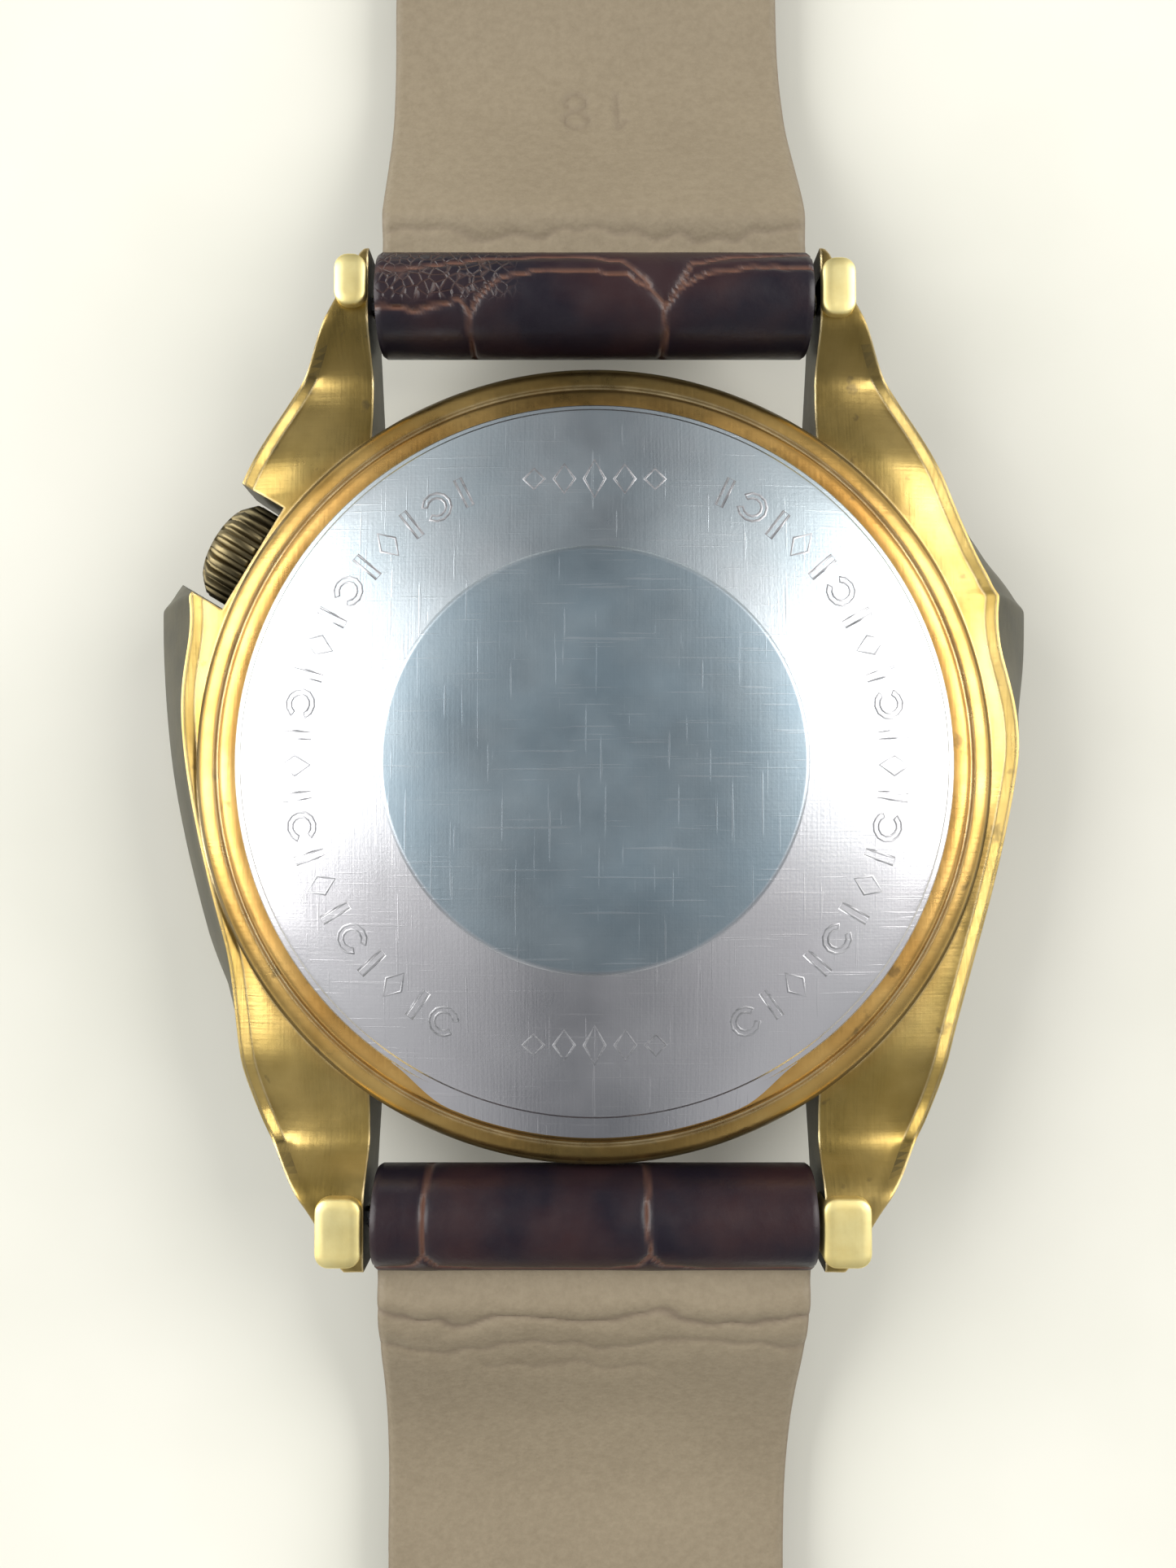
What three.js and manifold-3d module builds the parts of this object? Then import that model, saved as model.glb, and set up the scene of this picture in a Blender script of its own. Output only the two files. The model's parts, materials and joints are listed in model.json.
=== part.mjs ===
// Automatic dress wristwatch on a leather strap, lying face down with its strap opened out flat.
// Millimetres. Origin at the centre of the crystal's flat outer face. +Z points out of the case back,
// +Y towards 12 o'clock, so 3 o'clock lies at -X and the crown, at 2 o'clock, at -X and +Y.
import * as THREE from 'three';
import { mergeVertices } from 'three/addons/utils/BufferGeometryUtils.js';
import Module from 'manifold-3d';

const wasm = await Module();
wasm.setup();

const { degToRad, smoothstep, lerp } = THREE.MathUtils;
const FINE = 48; // facets round the large visible rings
const PLAIN = 32; // facets round rings inside the case
const SMALL = 12; // facets round screws, posts and hubs
const TINY = 8; // facets round pivots and strap holes
const REACH = 30; // longer than anything that a cutting tool has to pass through
const GAP = 0.03; // clearance between fitted faces

// Case
const LUG_WIDTH = 18;
const GAP_HALF = LUG_WIDTH / 2 + 0.05; // inner face of a lug
const BAR_12 = 18.8; // spring bar's distance from the centre, 12 o'clock side
const BAR_6 = -18.2; // and 6 o'clock side
const BAR_Z = 6.5;
const GIRDLE = [ // half width of the case at its widest level, from the 12 to the 6 o'clock lug tip
  [10.3, 21.2], [11.5, 18.7], [13.3, 14.8], [15.7, 10.8], [18.3, 7.4], [18.75, 5.9],
  [18.2, -0.6], [16.5, -7.7], [14.1, -14.5], [12.1, -18.4], [10.8, -20.7],
];
const DIAL_SIDE_Z = 2.6;
const BACK_EDGE_Z = 6.9;
const PAD_Z = 8.2; // flat ends of the lugs, on the wrist side
const RING_R = 16; // turned ring round the case back
const RING_Z = 8.2;
const BORE_R = 13.5;
const NECK_R = 15;
const NECK_Z = 1.6;
const NECK_BORE_R = 13.95;
const NECK_BORE_Z = 2.8;
const BACK_SEAT_Z = 7.9;

// Crystal, bezel and dial
const CRYSTAL_R = 14.4;
const CRYSTAL_Z = 1.5;
const BEZEL_R = 16.05;
const DIAL_Z = 2.85;
const DIAL_TOP_Z = 3.2;

// Case back
const BACK_R = 13.6;
const BACK_FLAT_R = 7.95;
const BACK_TOP_Z = 10.5;
const BACK_SHOULDER_Z = 9.4;
const BACK_WALL = 0.7;

// Crown and keyless works, along the line from the centre through the crown
const CROWN_ANGLE = degToRad(149);
const STEM_Z = 4.5;
const STEM_R = 0.4;
const CROWN_R = 2.2;
const CROWN_IN = 16.25; // distances from the centre
const CROWN_OUT = 18.15;
const CROWN_FLUTES = 22;
const NOTCH_FLOOR = 16.1;
const NOTCH_HALF = 2.4;
const CROWN_PULL = 0.7;
const TUBE_R = 0.9;
const TUBE_BORE_R = 0.5;
const GROOVE = 11.4; // stem groove that holds the setting lever's peg

// Movement levels
const PLATE_R = 12.8;
const PLATE_Z = 4;
const PLATE_TOP_Z = 5;
const WINDING_Z = 5.5; // crown wheel and ratchet wheel
const WINDING_TOP_Z = 5.8;
const BARREL_Z = 5.95;
const BARREL_TOP_Z = 7;
const BRIDGE_Z = 7.4;
const BRIDGE_TOP_Z = 8;
const BRIDGE_R = 12.6;

// Gearing: teeth, and pitch radii from each pair's centre distance
const TEETH = {
  barrel: 48, centrePinion: 6, centre: 48, thirdPinion: 6, third: 45, fourthPinion: 6, fourth: 60,
  escapePinion: 6, escape: 15, cannon: 8, minute: 24, minutePinion: 6, hour: 24,
  winding: 8, crown: 24, ratchet: 32,
};
const polar = (radius, degrees) => new THREE.Vector2(radius, 0).rotateAround(new THREE.Vector2(), degToRad(degrees));
const BARREL_AT = polar(5.4, 89);
const THIRD_AT = polar(4.32, 300);
const ESCAPE_AT = polar(4.25, 225);
const MINUTE_AT = polar(3.6, 60);
const BALANCE_AT = polar(8.6, 222);
const PALLET_AT = ESCAPE_AT.clone().lerp(BALANCE_AT, 0.595);
const WINDING_FACE_R = 2.4; // where the winding pinion meets the crown wheel's face teeth
const WINDING_PITCH_R = WINDING_FACE_R * TEETH.winding / TEETH.crown;
const RATCHET_DISTANCE = 6.3;
const CROWN_WHEEL_R = RATCHET_DISTANCE * TEETH.crown / (TEETH.crown + TEETH.ratchet);
const CROWN_WHEEL_OUT = (() => { // distance along the stem at which the crown wheel meets the ratchet wheel
  const spread = CROWN_ANGLE - BARREL_AT.angle();
  const along = BARREL_AT.length() * Math.cos(spread);
  const across = BARREL_AT.length() * Math.sin(spread);
  return along + Math.sqrt(RATCHET_DISTANCE ** 2 - across ** 2);
})();
const CROWN_WHEEL_AT = new THREE.Vector2(CROWN_WHEEL_OUT, 0).rotateAround(new THREE.Vector2(), CROWN_ANGLE);

// Strap and buckle
const STRAP = { lugHalf: 8.7, tipHalf: 8, leather: 1.3, lining: 1, tube: 2.05, bore: 0.98, run: 14 };
const SHORT_END = 93.4; // buckle bar's distance from the centre
const LONG_END = 133;
const BUCKLE_TUBE_R = 1.6;
const KEEPER_LIFT = 1.05; // how far the keepers' undersides hold the strap off the table
const KEEPER_WALL = 0.95;
const BUCKLE_BAR_Z = KEEPER_LIFT + BUCKLE_TUBE_R;

// ---------------------------------------------------------------- shape helpers

function clean(geometry) {
  const bare = geometry.index ? geometry.toNonIndexed() : geometry.clone();
  bare.deleteAttribute('normal');
  bare.deleteAttribute('uv');
  const welded = mergeVertices(bare, 1e-4);
  const point = (i) => new THREE.Vector3().fromBufferAttribute(welded.attributes.position, i);
  const kept = [];
  let volume = 0;
  for (let i = 0; i < welded.index.count; i += 3) {
    const [a, b, c] = welded.index.array.slice(i, i + 3);
    if (a === b || b === c || c === a) continue; // collapsed on the turning axis
    kept.push(a, b, c);
    volume += point(a).dot(point(b).cross(point(c)));
  }
  if (volume < 0) kept.reverse();
  welded.setIndex(kept);
  return welded;
}

function solidOf(geometry) {
  const welded = clean(geometry);
  return new wasm.Manifold(new wasm.Mesh({
    numProp: 3,
    vertProperties: Float32Array.from(welded.attributes.position.array),
    triVerts: Uint32Array.from(welded.index.array),
  }));
}

function combine(operation, base, tools) {
  let result = solidOf(base);
  for (const tool of tools) result = result[operation](solidOf(tool));
  const mesh = result.getMesh();
  const geometry = new THREE.BufferGeometry();
  geometry.setAttribute('position', new THREE.BufferAttribute(Float32Array.from(mesh.vertProperties), 3));
  geometry.setIndex(Array.from(mesh.triVerts));
  return geometry;
}

const cut = (base, ...tools) => combine('subtract', base, tools);
const join = (base, ...tools) => combine('add', base, tools);
const common = (base, ...tools) => combine('intersect', base, tools);

// Solid of revolution about Z; profile is [radius, z] points, from axis to axis or back to its start.
function turned(profile, segments = PLAIN) {
  const points = profile.map(([r, z]) => new THREE.Vector2(r, z));
  return new THREE.LatheGeometry(points, segments).rotateX(Math.PI / 2);
}

const ring = (inner, outer, z0, z1, segments = PLAIN) =>
  turned([[inner, z0], [outer, z0], [outer, z1], [inner, z1], [inner, z0]], segments);

const disc = (radius, z0, z1, segments = SMALL) =>
  turned([[0, z0], [radius, z0], [radius, z1], [0, z1]], segments);

const post = (at, radius, z0, z1, segments = TINY) => disc(radius, z0, z1, segments).translate(at.x, at.y, 0);

function box(x0, x1, y0, y1, z0, z1) {
  return new THREE.BoxGeometry(x1 - x0, y1 - y0, z1 - z0).translate((x0 + x1) / 2, (y0 + y1) / 2, (z0 + z1) / 2);
}

function outline(points) {
  return new THREE.Shape(points.map(([x, y]) => new THREE.Vector2(x, y)));
}

function plate(shape, z0, z1) {
  return new THREE.ExtrudeGeometry(shape, { depth: z1 - z0, bevelEnabled: false, curveSegments: 6 }).translate(0, 0, z0);
}

// Profile in (y, z), drawn out along X from x0 to x1.
function drawnAlongX(shape, x0, x1) {
  const turn = new THREE.Matrix4().makeBasis(
    new THREE.Vector3(0, 1, 0), new THREE.Vector3(0, 0, 1), new THREE.Vector3(1, 0, 0));
  return plate(shape, x0, x1).applyMatrix4(turn);
}

// A rod along X: profile is [radius, x] points.
const rodAlongX = (profile, y, z, segments = SMALL) =>
  turned(profile, segments).rotateY(Math.PI / 2).translate(0, y, z);

// The same for pieces on the stem: modelled along +X at the stem's height, swung round to the crown.
const onStem = (profile, segments = SMALL) => rodAlongX(profile, 0, STEM_Z, segments).rotateZ(CROWN_ANGLE);

const tube = (inner, outer, x0, x1) => [[inner, x0], [outer, x0], [outer, x1], [inner, x1], [inner, x0]];
const rod = (radius, x0, x1) => [[0, x0], [radius, x0], [radius, x1], [0, x1]];

// Closed skin through equal sections of [x, y, z] points; open runs are capped at both ends.
function loft(sections, closed = false) {
  const count = sections[0].length;
  const positions = sections.flat(2);
  const index = [];
  const last = closed ? sections.length : sections.length - 1;
  for (let s = 0; s < last; s += 1) {
    const here = s * count;
    const next = ((s + 1) % sections.length) * count;
    for (let i = 0; i < count; i += 1) {
      const j = (i + 1) % count;
      index.push(here + i, here + j, next + j, here + i, next + j, next + i);
    }
  }
  if (!closed) {
    const end = (sections.length - 1) * count;
    for (let i = 1; i < count - 1; i += 1) {
      index.push(0, i + 1, i);
      index.push(end, end + i, end + i + 1);
    }
  }
  const geometry = new THREE.BufferGeometry();
  geometry.setAttribute('position', new THREE.Float32BufferAttribute(positions, 3));
  geometry.setIndex(index);
  return geometry;
}

// Toothed outline with pointed teeth: a third of the tooth's height lies outside the pitch circle, which
// leaves a third of a pitch of backlash. One tooth points along the angle aim.
function toothed(teeth, pitchRadius, height, aim) {
  const points = [];
  for (let i = 0; i < 2 * teeth; i += 1) {
    const angle = aim + i * Math.PI / teeth;
    const radius = i % 2 === 0 ? pitchRadius + height / 3 : pitchRadius - 2 * height / 3;
    points.push([radius * Math.cos(angle), radius * Math.sin(angle)]);
  }
  return outline(points);
}

// A gear that shows a tooth, or a gap, towards the angle facing.
function gear(teeth, pitchRadius, height, facing, showsTooth, z0, z1) {
  const aim = showsTooth ? facing : facing + Math.PI / teeth;
  return plate(toothed(teeth, pitchRadius, height, aim), z0, z1);
}

// Round windows lighten a wheel and leave its spokes.
function windows(count, atRadius, radius) {
  const places = Array.from({ length: count }, (_, i) => polar(atRadius, i * 360 / count));
  return places.map((at) => post(at, radius, -REACH, REACH));
}

// Flat spiral ribbon.
function spiral(inner, outer, turns, width, z0, z1, steps) {
  const sections = [];
  for (let i = 0; i <= steps; i += 1) {
    const angle = i / steps * turns * 2 * Math.PI;
    const radius = lerp(inner, outer, i / steps);
    const at = (r, z) => [r * Math.cos(angle), r * Math.sin(angle), z];
    sections.push([at(radius, z0), at(radius + width, z0), at(radius + width, z1), at(radius, z1)]);
  }
  return loft(sections);
}

// ---------------------------------------------------------------- materials

const finish = (color, roughness, metalness) => new THREE.MeshStandardMaterial({ color, roughness, metalness });
const GOLD = finish(0xc8a55a, 0.3, 1);
const STEEL = finish(0x9a9aa0, 0.35, 1);
const BRASS = finish(0xc9a75d, 0.4, 1);
const PLATED = finish(0xb9b4a8, 0.35, 1);
const RUBBER = finish(0x1c1c1c, 0.8, 0);
const PLASTIC = finish(0xd8d5c8, 0.6, 0);
const GLASS = finish(0xdfe8ea, 0.05, 0);
const DIAL = finish(0xd9cfb4, 0.4, 0.6);
const LEATHER = finish(0x3c282d, 0.5, 0);
const LINING = finish(0x9e8e7a, 0.8, 0);

const watch = new THREE.Group();

function add(name, geometry, material, at = new THREE.Vector2(), parent = watch) {
  const mesh = new THREE.Mesh(clean(geometry), material);
  mesh.name = name;
  mesh.position.set(at.x, at.y, 0);
  parent.add(mesh);
}

// ---------------------------------------------------------------- case

// Levels of the case along Y. The lugs bend towards the wrist and end in flat pads beyond the bars.
function caseSection(halfWidth, y) {
  const past = y > 0 ? y - BAR_12 : BAR_6 - y; // distance beyond the spring bar
  const dial = DIAL_SIDE_Z + 2.7 * smoothstep(past, -9, 2.6);
  const scoop = 0.6 * smoothstep(past, -6.8, -3.8);
  const pad = (PAD_Z - BACK_EDGE_Z + 0.6) * smoothstep(past, -3.3, -0.9);
  const roundOff = 0.9 * smoothstep(past, 1.5, 2.8);
  const back = BACK_EDGE_Z - scoop + pad - roundOff;
  const flank = lerp(1.8, 1.05, smoothstep(past, -4, 0)) + 0.6 * Math.exp(-(((y - 6) / 2.5) ** 2));
  const right = [
    [halfWidth - 1.1, dial + 0.4 * roundOff],
    [halfWidth, dial + 0.6],
    [halfWidth - flank, back],
    [halfWidth - flank - 0.9, back + 0.3 * smoothstep(-past, 1, 4)],
  ];
  const left = right.map(([x, z]) => [-x, z]).reverse();
  return [...right, ...left].map(([x, z]) => [x, y, z]);
}

function caseMiddle() {
  const points = GIRDLE.map(([x, y]) => new THREE.Vector3(x, y, 0));
  const girdle = new THREE.CatmullRomCurve3(points, false, 'centripetal').getSpacedPoints(26);
  const body = loft(girdle.map((p) => caseSection(p.x, p.y)));
  const betweenLugs = [1, -1].map((side) => box(-GAP_HALF, GAP_HALF, side * 20 - 10, side * 20 + 10, -REACH, REACH));
  const flanks = cut(body, ...betweenLugs, disc(NECK_R - 0.5, -REACH, REACH, FINE));
  const turnedRing = turned([
    [BORE_R, NECK_BORE_Z], [NECK_BORE_R, NECK_BORE_Z], [NECK_BORE_R, NECK_Z], [NECK_R, NECK_Z],
    [NECK_R, DIAL_SIDE_Z], [RING_R - 0.3, DIAL_SIDE_Z], [RING_R, DIAL_SIDE_Z + 0.4], [RING_R, RING_Z - 1],
    [RING_R - 0.6, RING_Z - 0.4], [RING_R - 1.4, RING_Z], [BORE_R + 0.45, RING_Z],
    [BORE_R + 0.45, BACK_SEAT_Z], [BORE_R, BACK_SEAT_Z], [BORE_R, NECK_BORE_Z],
  ], FINE);
  const notch = box(NOTCH_FLOOR, REACH, -NOTCH_HALF, NOTCH_HALF, NECK_BORE_Z - 0.4, REACH).rotateZ(CROWN_ANGLE);
  const tubeHole = onStem(rod(TUBE_R + GAP, BORE_R - 2, REACH));
  const barHoles = [1, -1].flatMap((side) => [BAR_12, BAR_6].map((y) => {
    const hole = rodAlongX(rod(0.45, 0, 10.2), y, BAR_Z, TINY);
    return side > 0 ? hole : hole.rotateY(Math.PI).translate(0, 0, 2 * BAR_Z);
  }));
  const holeTools = barHoles.map((hole) => cut(hole, disc(RING_R, -REACH, REACH, FINE)));
  return cut(join(flanks, turnedRing), notch, tubeHole, ...holeTools);
}

function addCase() {
  add('case_middle', caseMiddle(), GOLD);
  add('bezel', turned([
    [CRYSTAL_R + 0.45, 0.4], [BEZEL_R - 0.9, 0.4], [BEZEL_R, 1.4], [BEZEL_R, DIAL_SIDE_Z - 0.1],
    [NECK_R + GAP, DIAL_SIDE_Z - 0.1], [NECK_R + GAP, NECK_Z - 0.05], [CRYSTAL_R + 0.45, NECK_Z - 0.05],
    [CRYSTAL_R + 0.45, 0.4],
  ], FINE), GOLD);
  add('crystal', turned([[0, 0], [CRYSTAL_R - 0.3, 0], [CRYSTAL_R, 0.3], [CRYSTAL_R, CRYSTAL_Z], [0, CRYSTAL_Z]], FINE), GLASS);
  add('crystal_gasket', ring(CRYSTAL_R + 0.1, CRYSTAL_R + 0.4, 0.45, CRYSTAL_Z), RUBBER);
  add('dial_surround', turned([[13.3, 1.56], [13.88, 1.56], [13.88, 2.78], [12.7, 2.78], [13.3, 1.56]]), GOLD);
  const flange = BORE_R + 0.5;
  add('case_back', turned([
    [0, BACK_TOP_Z], [BACK_FLAT_R, BACK_TOP_Z], [BACK_FLAT_R + 0.1, BACK_TOP_Z - 0.1],
    [BACK_R - 0.2, BACK_SHOULDER_Z + 0.1], [BACK_R, BACK_SHOULDER_Z], [flange - 0.1, 8.7], [flange, RING_Z + 0.05],
    [BORE_R - 0.05, RING_Z + 0.05], [BORE_R - 0.05, 7.5], [BORE_R - 0.45, 7.5], [BORE_R - 0.45, 8.8],
    [BACK_FLAT_R, BACK_TOP_Z - BACK_WALL], [0, BACK_TOP_Z - BACK_WALL],
  ], FINE), STEEL);
  add('case_back_gasket', ring(BORE_R + 0.05, BORE_R + 0.4, BACK_SEAT_Z + 0.02, RING_Z), RUBBER);
}

// ---------------------------------------------------------------- crown and keyless works

function addCrown() {
  const fluted = new THREE.ExtrudeGeometry(toothed(CROWN_FLUTES, CROWN_R - 0.08, 0.24, 0), {
    depth: CROWN_OUT - CROWN_IN, bevelEnabled: false,
  }).rotateY(Math.PI / 2).translate(CROWN_IN, 0, STEM_Z).rotateZ(CROWN_ANGLE);
  const recess = onStem(rod(1.5, CROWN_IN - 1, CROWN_IN + 1), SMALL + 4);
  const thread = onStem(rod(STEM_R + 0.02, CROWN_IN, CROWN_IN + 1.35));
  add('crown', cut(fluted, recess, thread), GOLD);
  add('crown_gasket', onStem(tube(TUBE_R + 0.04, 1.45, CROWN_IN + 0.2, CROWN_IN + 0.5)), RUBBER);
  add('crown_tube', onStem(tube(TUBE_BORE_R, TUBE_R, BORE_R + 0.1, CROWN_IN + 0.8)), STEEL);
  add('winding_stem', onStem([
    [0, 6.6], [STEM_R, 6.6], [STEM_R, GROOVE - 0.25], [0.25, GROOVE - 0.25], [0.25, GROOVE + 0.25],
    [STEM_R, GROOVE + 0.25], [STEM_R, CROWN_IN + 1.3], [0, CROWN_IN + 1.3],
  ]), STEEL);
}

function addKeylessWorks() {
  const height = 0.3;
  const pinionAt = CROWN_WHEEL_OUT + WINDING_FACE_R;
  const bore = onStem(rod(STEM_R + 0.06, 0, REACH));
  const gapUp = Math.PI; // after the turn onto the stem this is the direction of +Z
  const pinion = gear(TEETH.winding, WINDING_PITCH_R, height, gapUp, false, pinionAt - 0.3, pinionAt + 0.3)
    .rotateY(Math.PI / 2).translate(0, 0, STEM_Z).rotateZ(CROWN_ANGLE);
  add('winding_pinion', cut(pinion, bore), STEEL);
  add('sliding_clutch', onStem([
    [STEM_R + 0.06, pinionAt - 1.15], [0.8, pinionAt - 1.15], [0.8, pinionAt - 0.85], [0.6, pinionAt - 0.8],
    [0.6, pinionAt - 0.6], [0.8, pinionAt - 0.55], [0.8, pinionAt - 0.35], [STEM_R + 0.06, pinionAt - 0.35],
    [STEM_R + 0.06, pinionAt - 1.15],
  ]), STEEL);

  // The lever swings evenly either side of square to the stem as the crown is pulled.
  const arm = 2;
  const lean = CROWN_PULL / 2;
  const peg = new THREE.Vector2(-lean, Math.sqrt(arm ** 2 - lean ** 2));
  const side = new THREE.Vector2(-peg.y, peg.x).setLength(0.35);
  const bar = outline([[side.x, side.y], [-side.x, -side.y], [peg.x - side.x, peg.y - side.y], [peg.x + side.x, peg.y + side.y]]);
  const lever = join(plate(bar, 3.35, 3.6), disc(0.6, 3.35, 3.6, TINY), disc(0.22, 3.35, 4.3, TINY), post(peg, 0.35, 3.35, 3.6), post(peg, 0.15, 3.35, 4.2));
  const pivot = new THREE.Vector2(GROOVE + lean, -arm).rotateAround(new THREE.Vector2(), CROWN_ANGLE);
  add('setting_lever', lever.rotateZ(CROWN_ANGLE), STEEL, pivot);

  const faceTeeth = [];
  for (let i = 0; i < 2 * TEETH.crown; i += 1) {
    const angle = CROWN_ANGLE + i * Math.PI / TEETH.crown;
    const under = STEM_Z + WINDING_PITCH_R + (i % 2 === 0 ? -height / 3 : 2 * height / 3);
    const at = (r, z) => [r * Math.cos(angle), r * Math.sin(angle), z];
    const [inner, outer] = [WINDING_FACE_R - 0.25, WINDING_FACE_R + 0.25];
    faceTeeth.push([at(inner, under), at(outer, under), at(outer, WINDING_Z + 0.1), at(inner, WINDING_Z + 0.1)]);
  }
  const towards = BARREL_AT.clone().sub(CROWN_WHEEL_AT).angle();
  const rim = gear(TEETH.crown, CROWN_WHEEL_R, height, towards, true, WINDING_Z, WINDING_TOP_Z);
  add('crown_wheel', cut(join(rim, loft(faceTeeth, true)), disc(0.56, 0, REACH)), STEEL, CROWN_WHEEL_AT);
  const ratchet = gear(TEETH.ratchet, RATCHET_DISTANCE - CROWN_WHEEL_R, height, towards + Math.PI, false, WINDING_Z, WINDING_TOP_Z);
  add('ratchet_wheel', cut(ratchet, disc(0.52, 0, REACH)), STEEL, BARREL_AT);
  add('barrel_arbor', disc(0.5, PLATE_Z + 0.2, BRIDGE_TOP_Z - 0.1), STEEL, BARREL_AT);
}

// ---------------------------------------------------------------- going train and escapement

// Pitch radius of one gear of a pair, from their centre distance and teeth.
const pitch = (distance, own, other) => distance * own / (own + other);

function addTrain() {
  const barrelAngle = BARREL_AT.angle();
  const thirdAngle = THIRD_AT.angle();
  const escapeAngle = ESCAPE_AT.angle();
  const toBarrel = BARREL_AT.length();
  const toThird = THIRD_AT.length();
  const toEscape = ESCAPE_AT.length();
  const opposite = Math.PI;

  const drumTeeth = gear(TEETH.barrel, pitch(toBarrel, TEETH.barrel, TEETH.centrePinion), 0.3,
    barrelAngle + opposite, true, BARREL_Z, BARREL_Z + 0.3);
  const drum = join(drumTeeth, disc(4.58, BARREL_Z, BARREL_TOP_Z, PLAIN));
  add('barrel_drum', cut(drum, disc(4.3, BARREL_Z + 0.2, REACH, PLAIN), disc(0.6, 0, REACH)), BRASS, BARREL_AT);
  add('mainspring', spiral(0.9, 4.05, 5, 0.14, BARREL_Z + 0.3, BARREL_TOP_Z - 0.1, 56), STEEL, BARREL_AT);

  const centreWheel = gear(TEETH.centre, pitch(toThird, TEETH.centre, TEETH.thirdPinion), 0.32, thirdAngle, true, 5.15, 5.35);
  const centrePinion = gear(TEETH.centrePinion, pitch(toBarrel, TEETH.centrePinion, TEETH.barrel), 0.3, barrelAngle, false, 5.85, 6.3);
  add('centre_wheel', cut(join(cut(centreWheel, ...windows(5, 2.2, 0.85)), centrePinion, disc(0.42, 2.1, 6.35)), disc(0.17, 0, REACH)), BRASS);

  const thirdPinion = gear(TEETH.thirdPinion, pitch(toThird, TEETH.thirdPinion, TEETH.centre), 0.32, thirdAngle + opposite, false, 5.1, 5.42);
  const thirdWheel = gear(TEETH.third, pitch(toThird, TEETH.third, TEETH.fourthPinion), 0.32, thirdAngle + opposite, true, 6.45, 6.65);
  add('third_wheel', join(cut(thirdWheel, ...windows(5, 2.2, 0.85)), thirdPinion, disc(0.15, 4.3, 7.8, TINY)), BRASS, THIRD_AT);

  const fourthPinion = gear(TEETH.fourthPinion, pitch(toThird, TEETH.fourthPinion, TEETH.third), 0.32, thirdAngle, false, 6.4, 6.75);
  const fourthWheel = gear(TEETH.fourth, pitch(toEscape, TEETH.fourth, TEETH.escapePinion), 0.2, escapeAngle, true, 7.1, 7.25);
  add('fourth_wheel', join(cut(fourthWheel, ...windows(5, 2.2, 0.8)), fourthPinion, disc(0.12, 1.8, 7.9, TINY)), BRASS);

  const escapePinion = gear(TEETH.escapePinion, pitch(toEscape, TEETH.escapePinion, TEETH.fourth), 0.2, escapeAngle + opposite, false, 7.05, 7.3);
  const hooked = [];
  for (let i = 0; i < TEETH.escape; i += 1) {
    const angle = i * 2 * Math.PI / TEETH.escape;
    hooked.push([2.1 * Math.cos(angle), 2.1 * Math.sin(angle)]);
    hooked.push([1.55 * Math.cos(angle + 0.12), 1.55 * Math.sin(angle + 0.12)]);
  }
  const escapeWheel = cut(plate(outline(hooked), 5.5, 5.7), ...windows(4, 0.9, 0.4));
  add('escape_wheel', join(escapeWheel, escapePinion, disc(0.12, 4.3, 7.8, TINY)), STEEL, ESCAPE_AT);
}

function addEscapement() {
  const halfFork = [[0.95, 0], [1.2, 0.12], [1.2, 0.28], [0.95, 0.14], [0.22, 0.16], [-0.42, 1.42], [-0.7, 1.3], [-0.2, 0]];
  const mirrored = halfFork.slice(1, -1).reverse().map(([x, y]) => [x, -y]);
  const heading = BALANCE_AT.clone().sub(PALLET_AT).angle();
  const fork = join(plate(outline([...halfFork, ...mirrored]), 5.45, 5.75), disc(0.12, 4.3, 6, TINY));
  add('pallet_fork', fork.rotateZ(heading), STEEL, PALLET_AT);

  const rim = ring(2.95, 3.3, 6.22, 6.5, PLAIN);
  const arms = box(-3, 3, -0.16, 0.16, 6.25, 6.45);
  const staff = disc(0.12, 4.3, 7.3, TINY);
  add('balance_wheel', join(rim, arms, disc(0.45, 6.2, 6.5), disc(0.42, 5.5, 5.7), staff), BRASS, BALANCE_AT);
  add('hairspring', spiral(0.3, 1.9, 5, 0.05, 6.65, 6.8, 50), STEEL, BALANCE_AT);
}

// ---------------------------------------------------------------- plates, bridges and rotor

const foot = (degrees, radius = 11.5) => post(polar(radius, degrees), 0.7, PLATE_TOP_Z + 0.02, BRIDGE_Z + 0.1);

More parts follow.
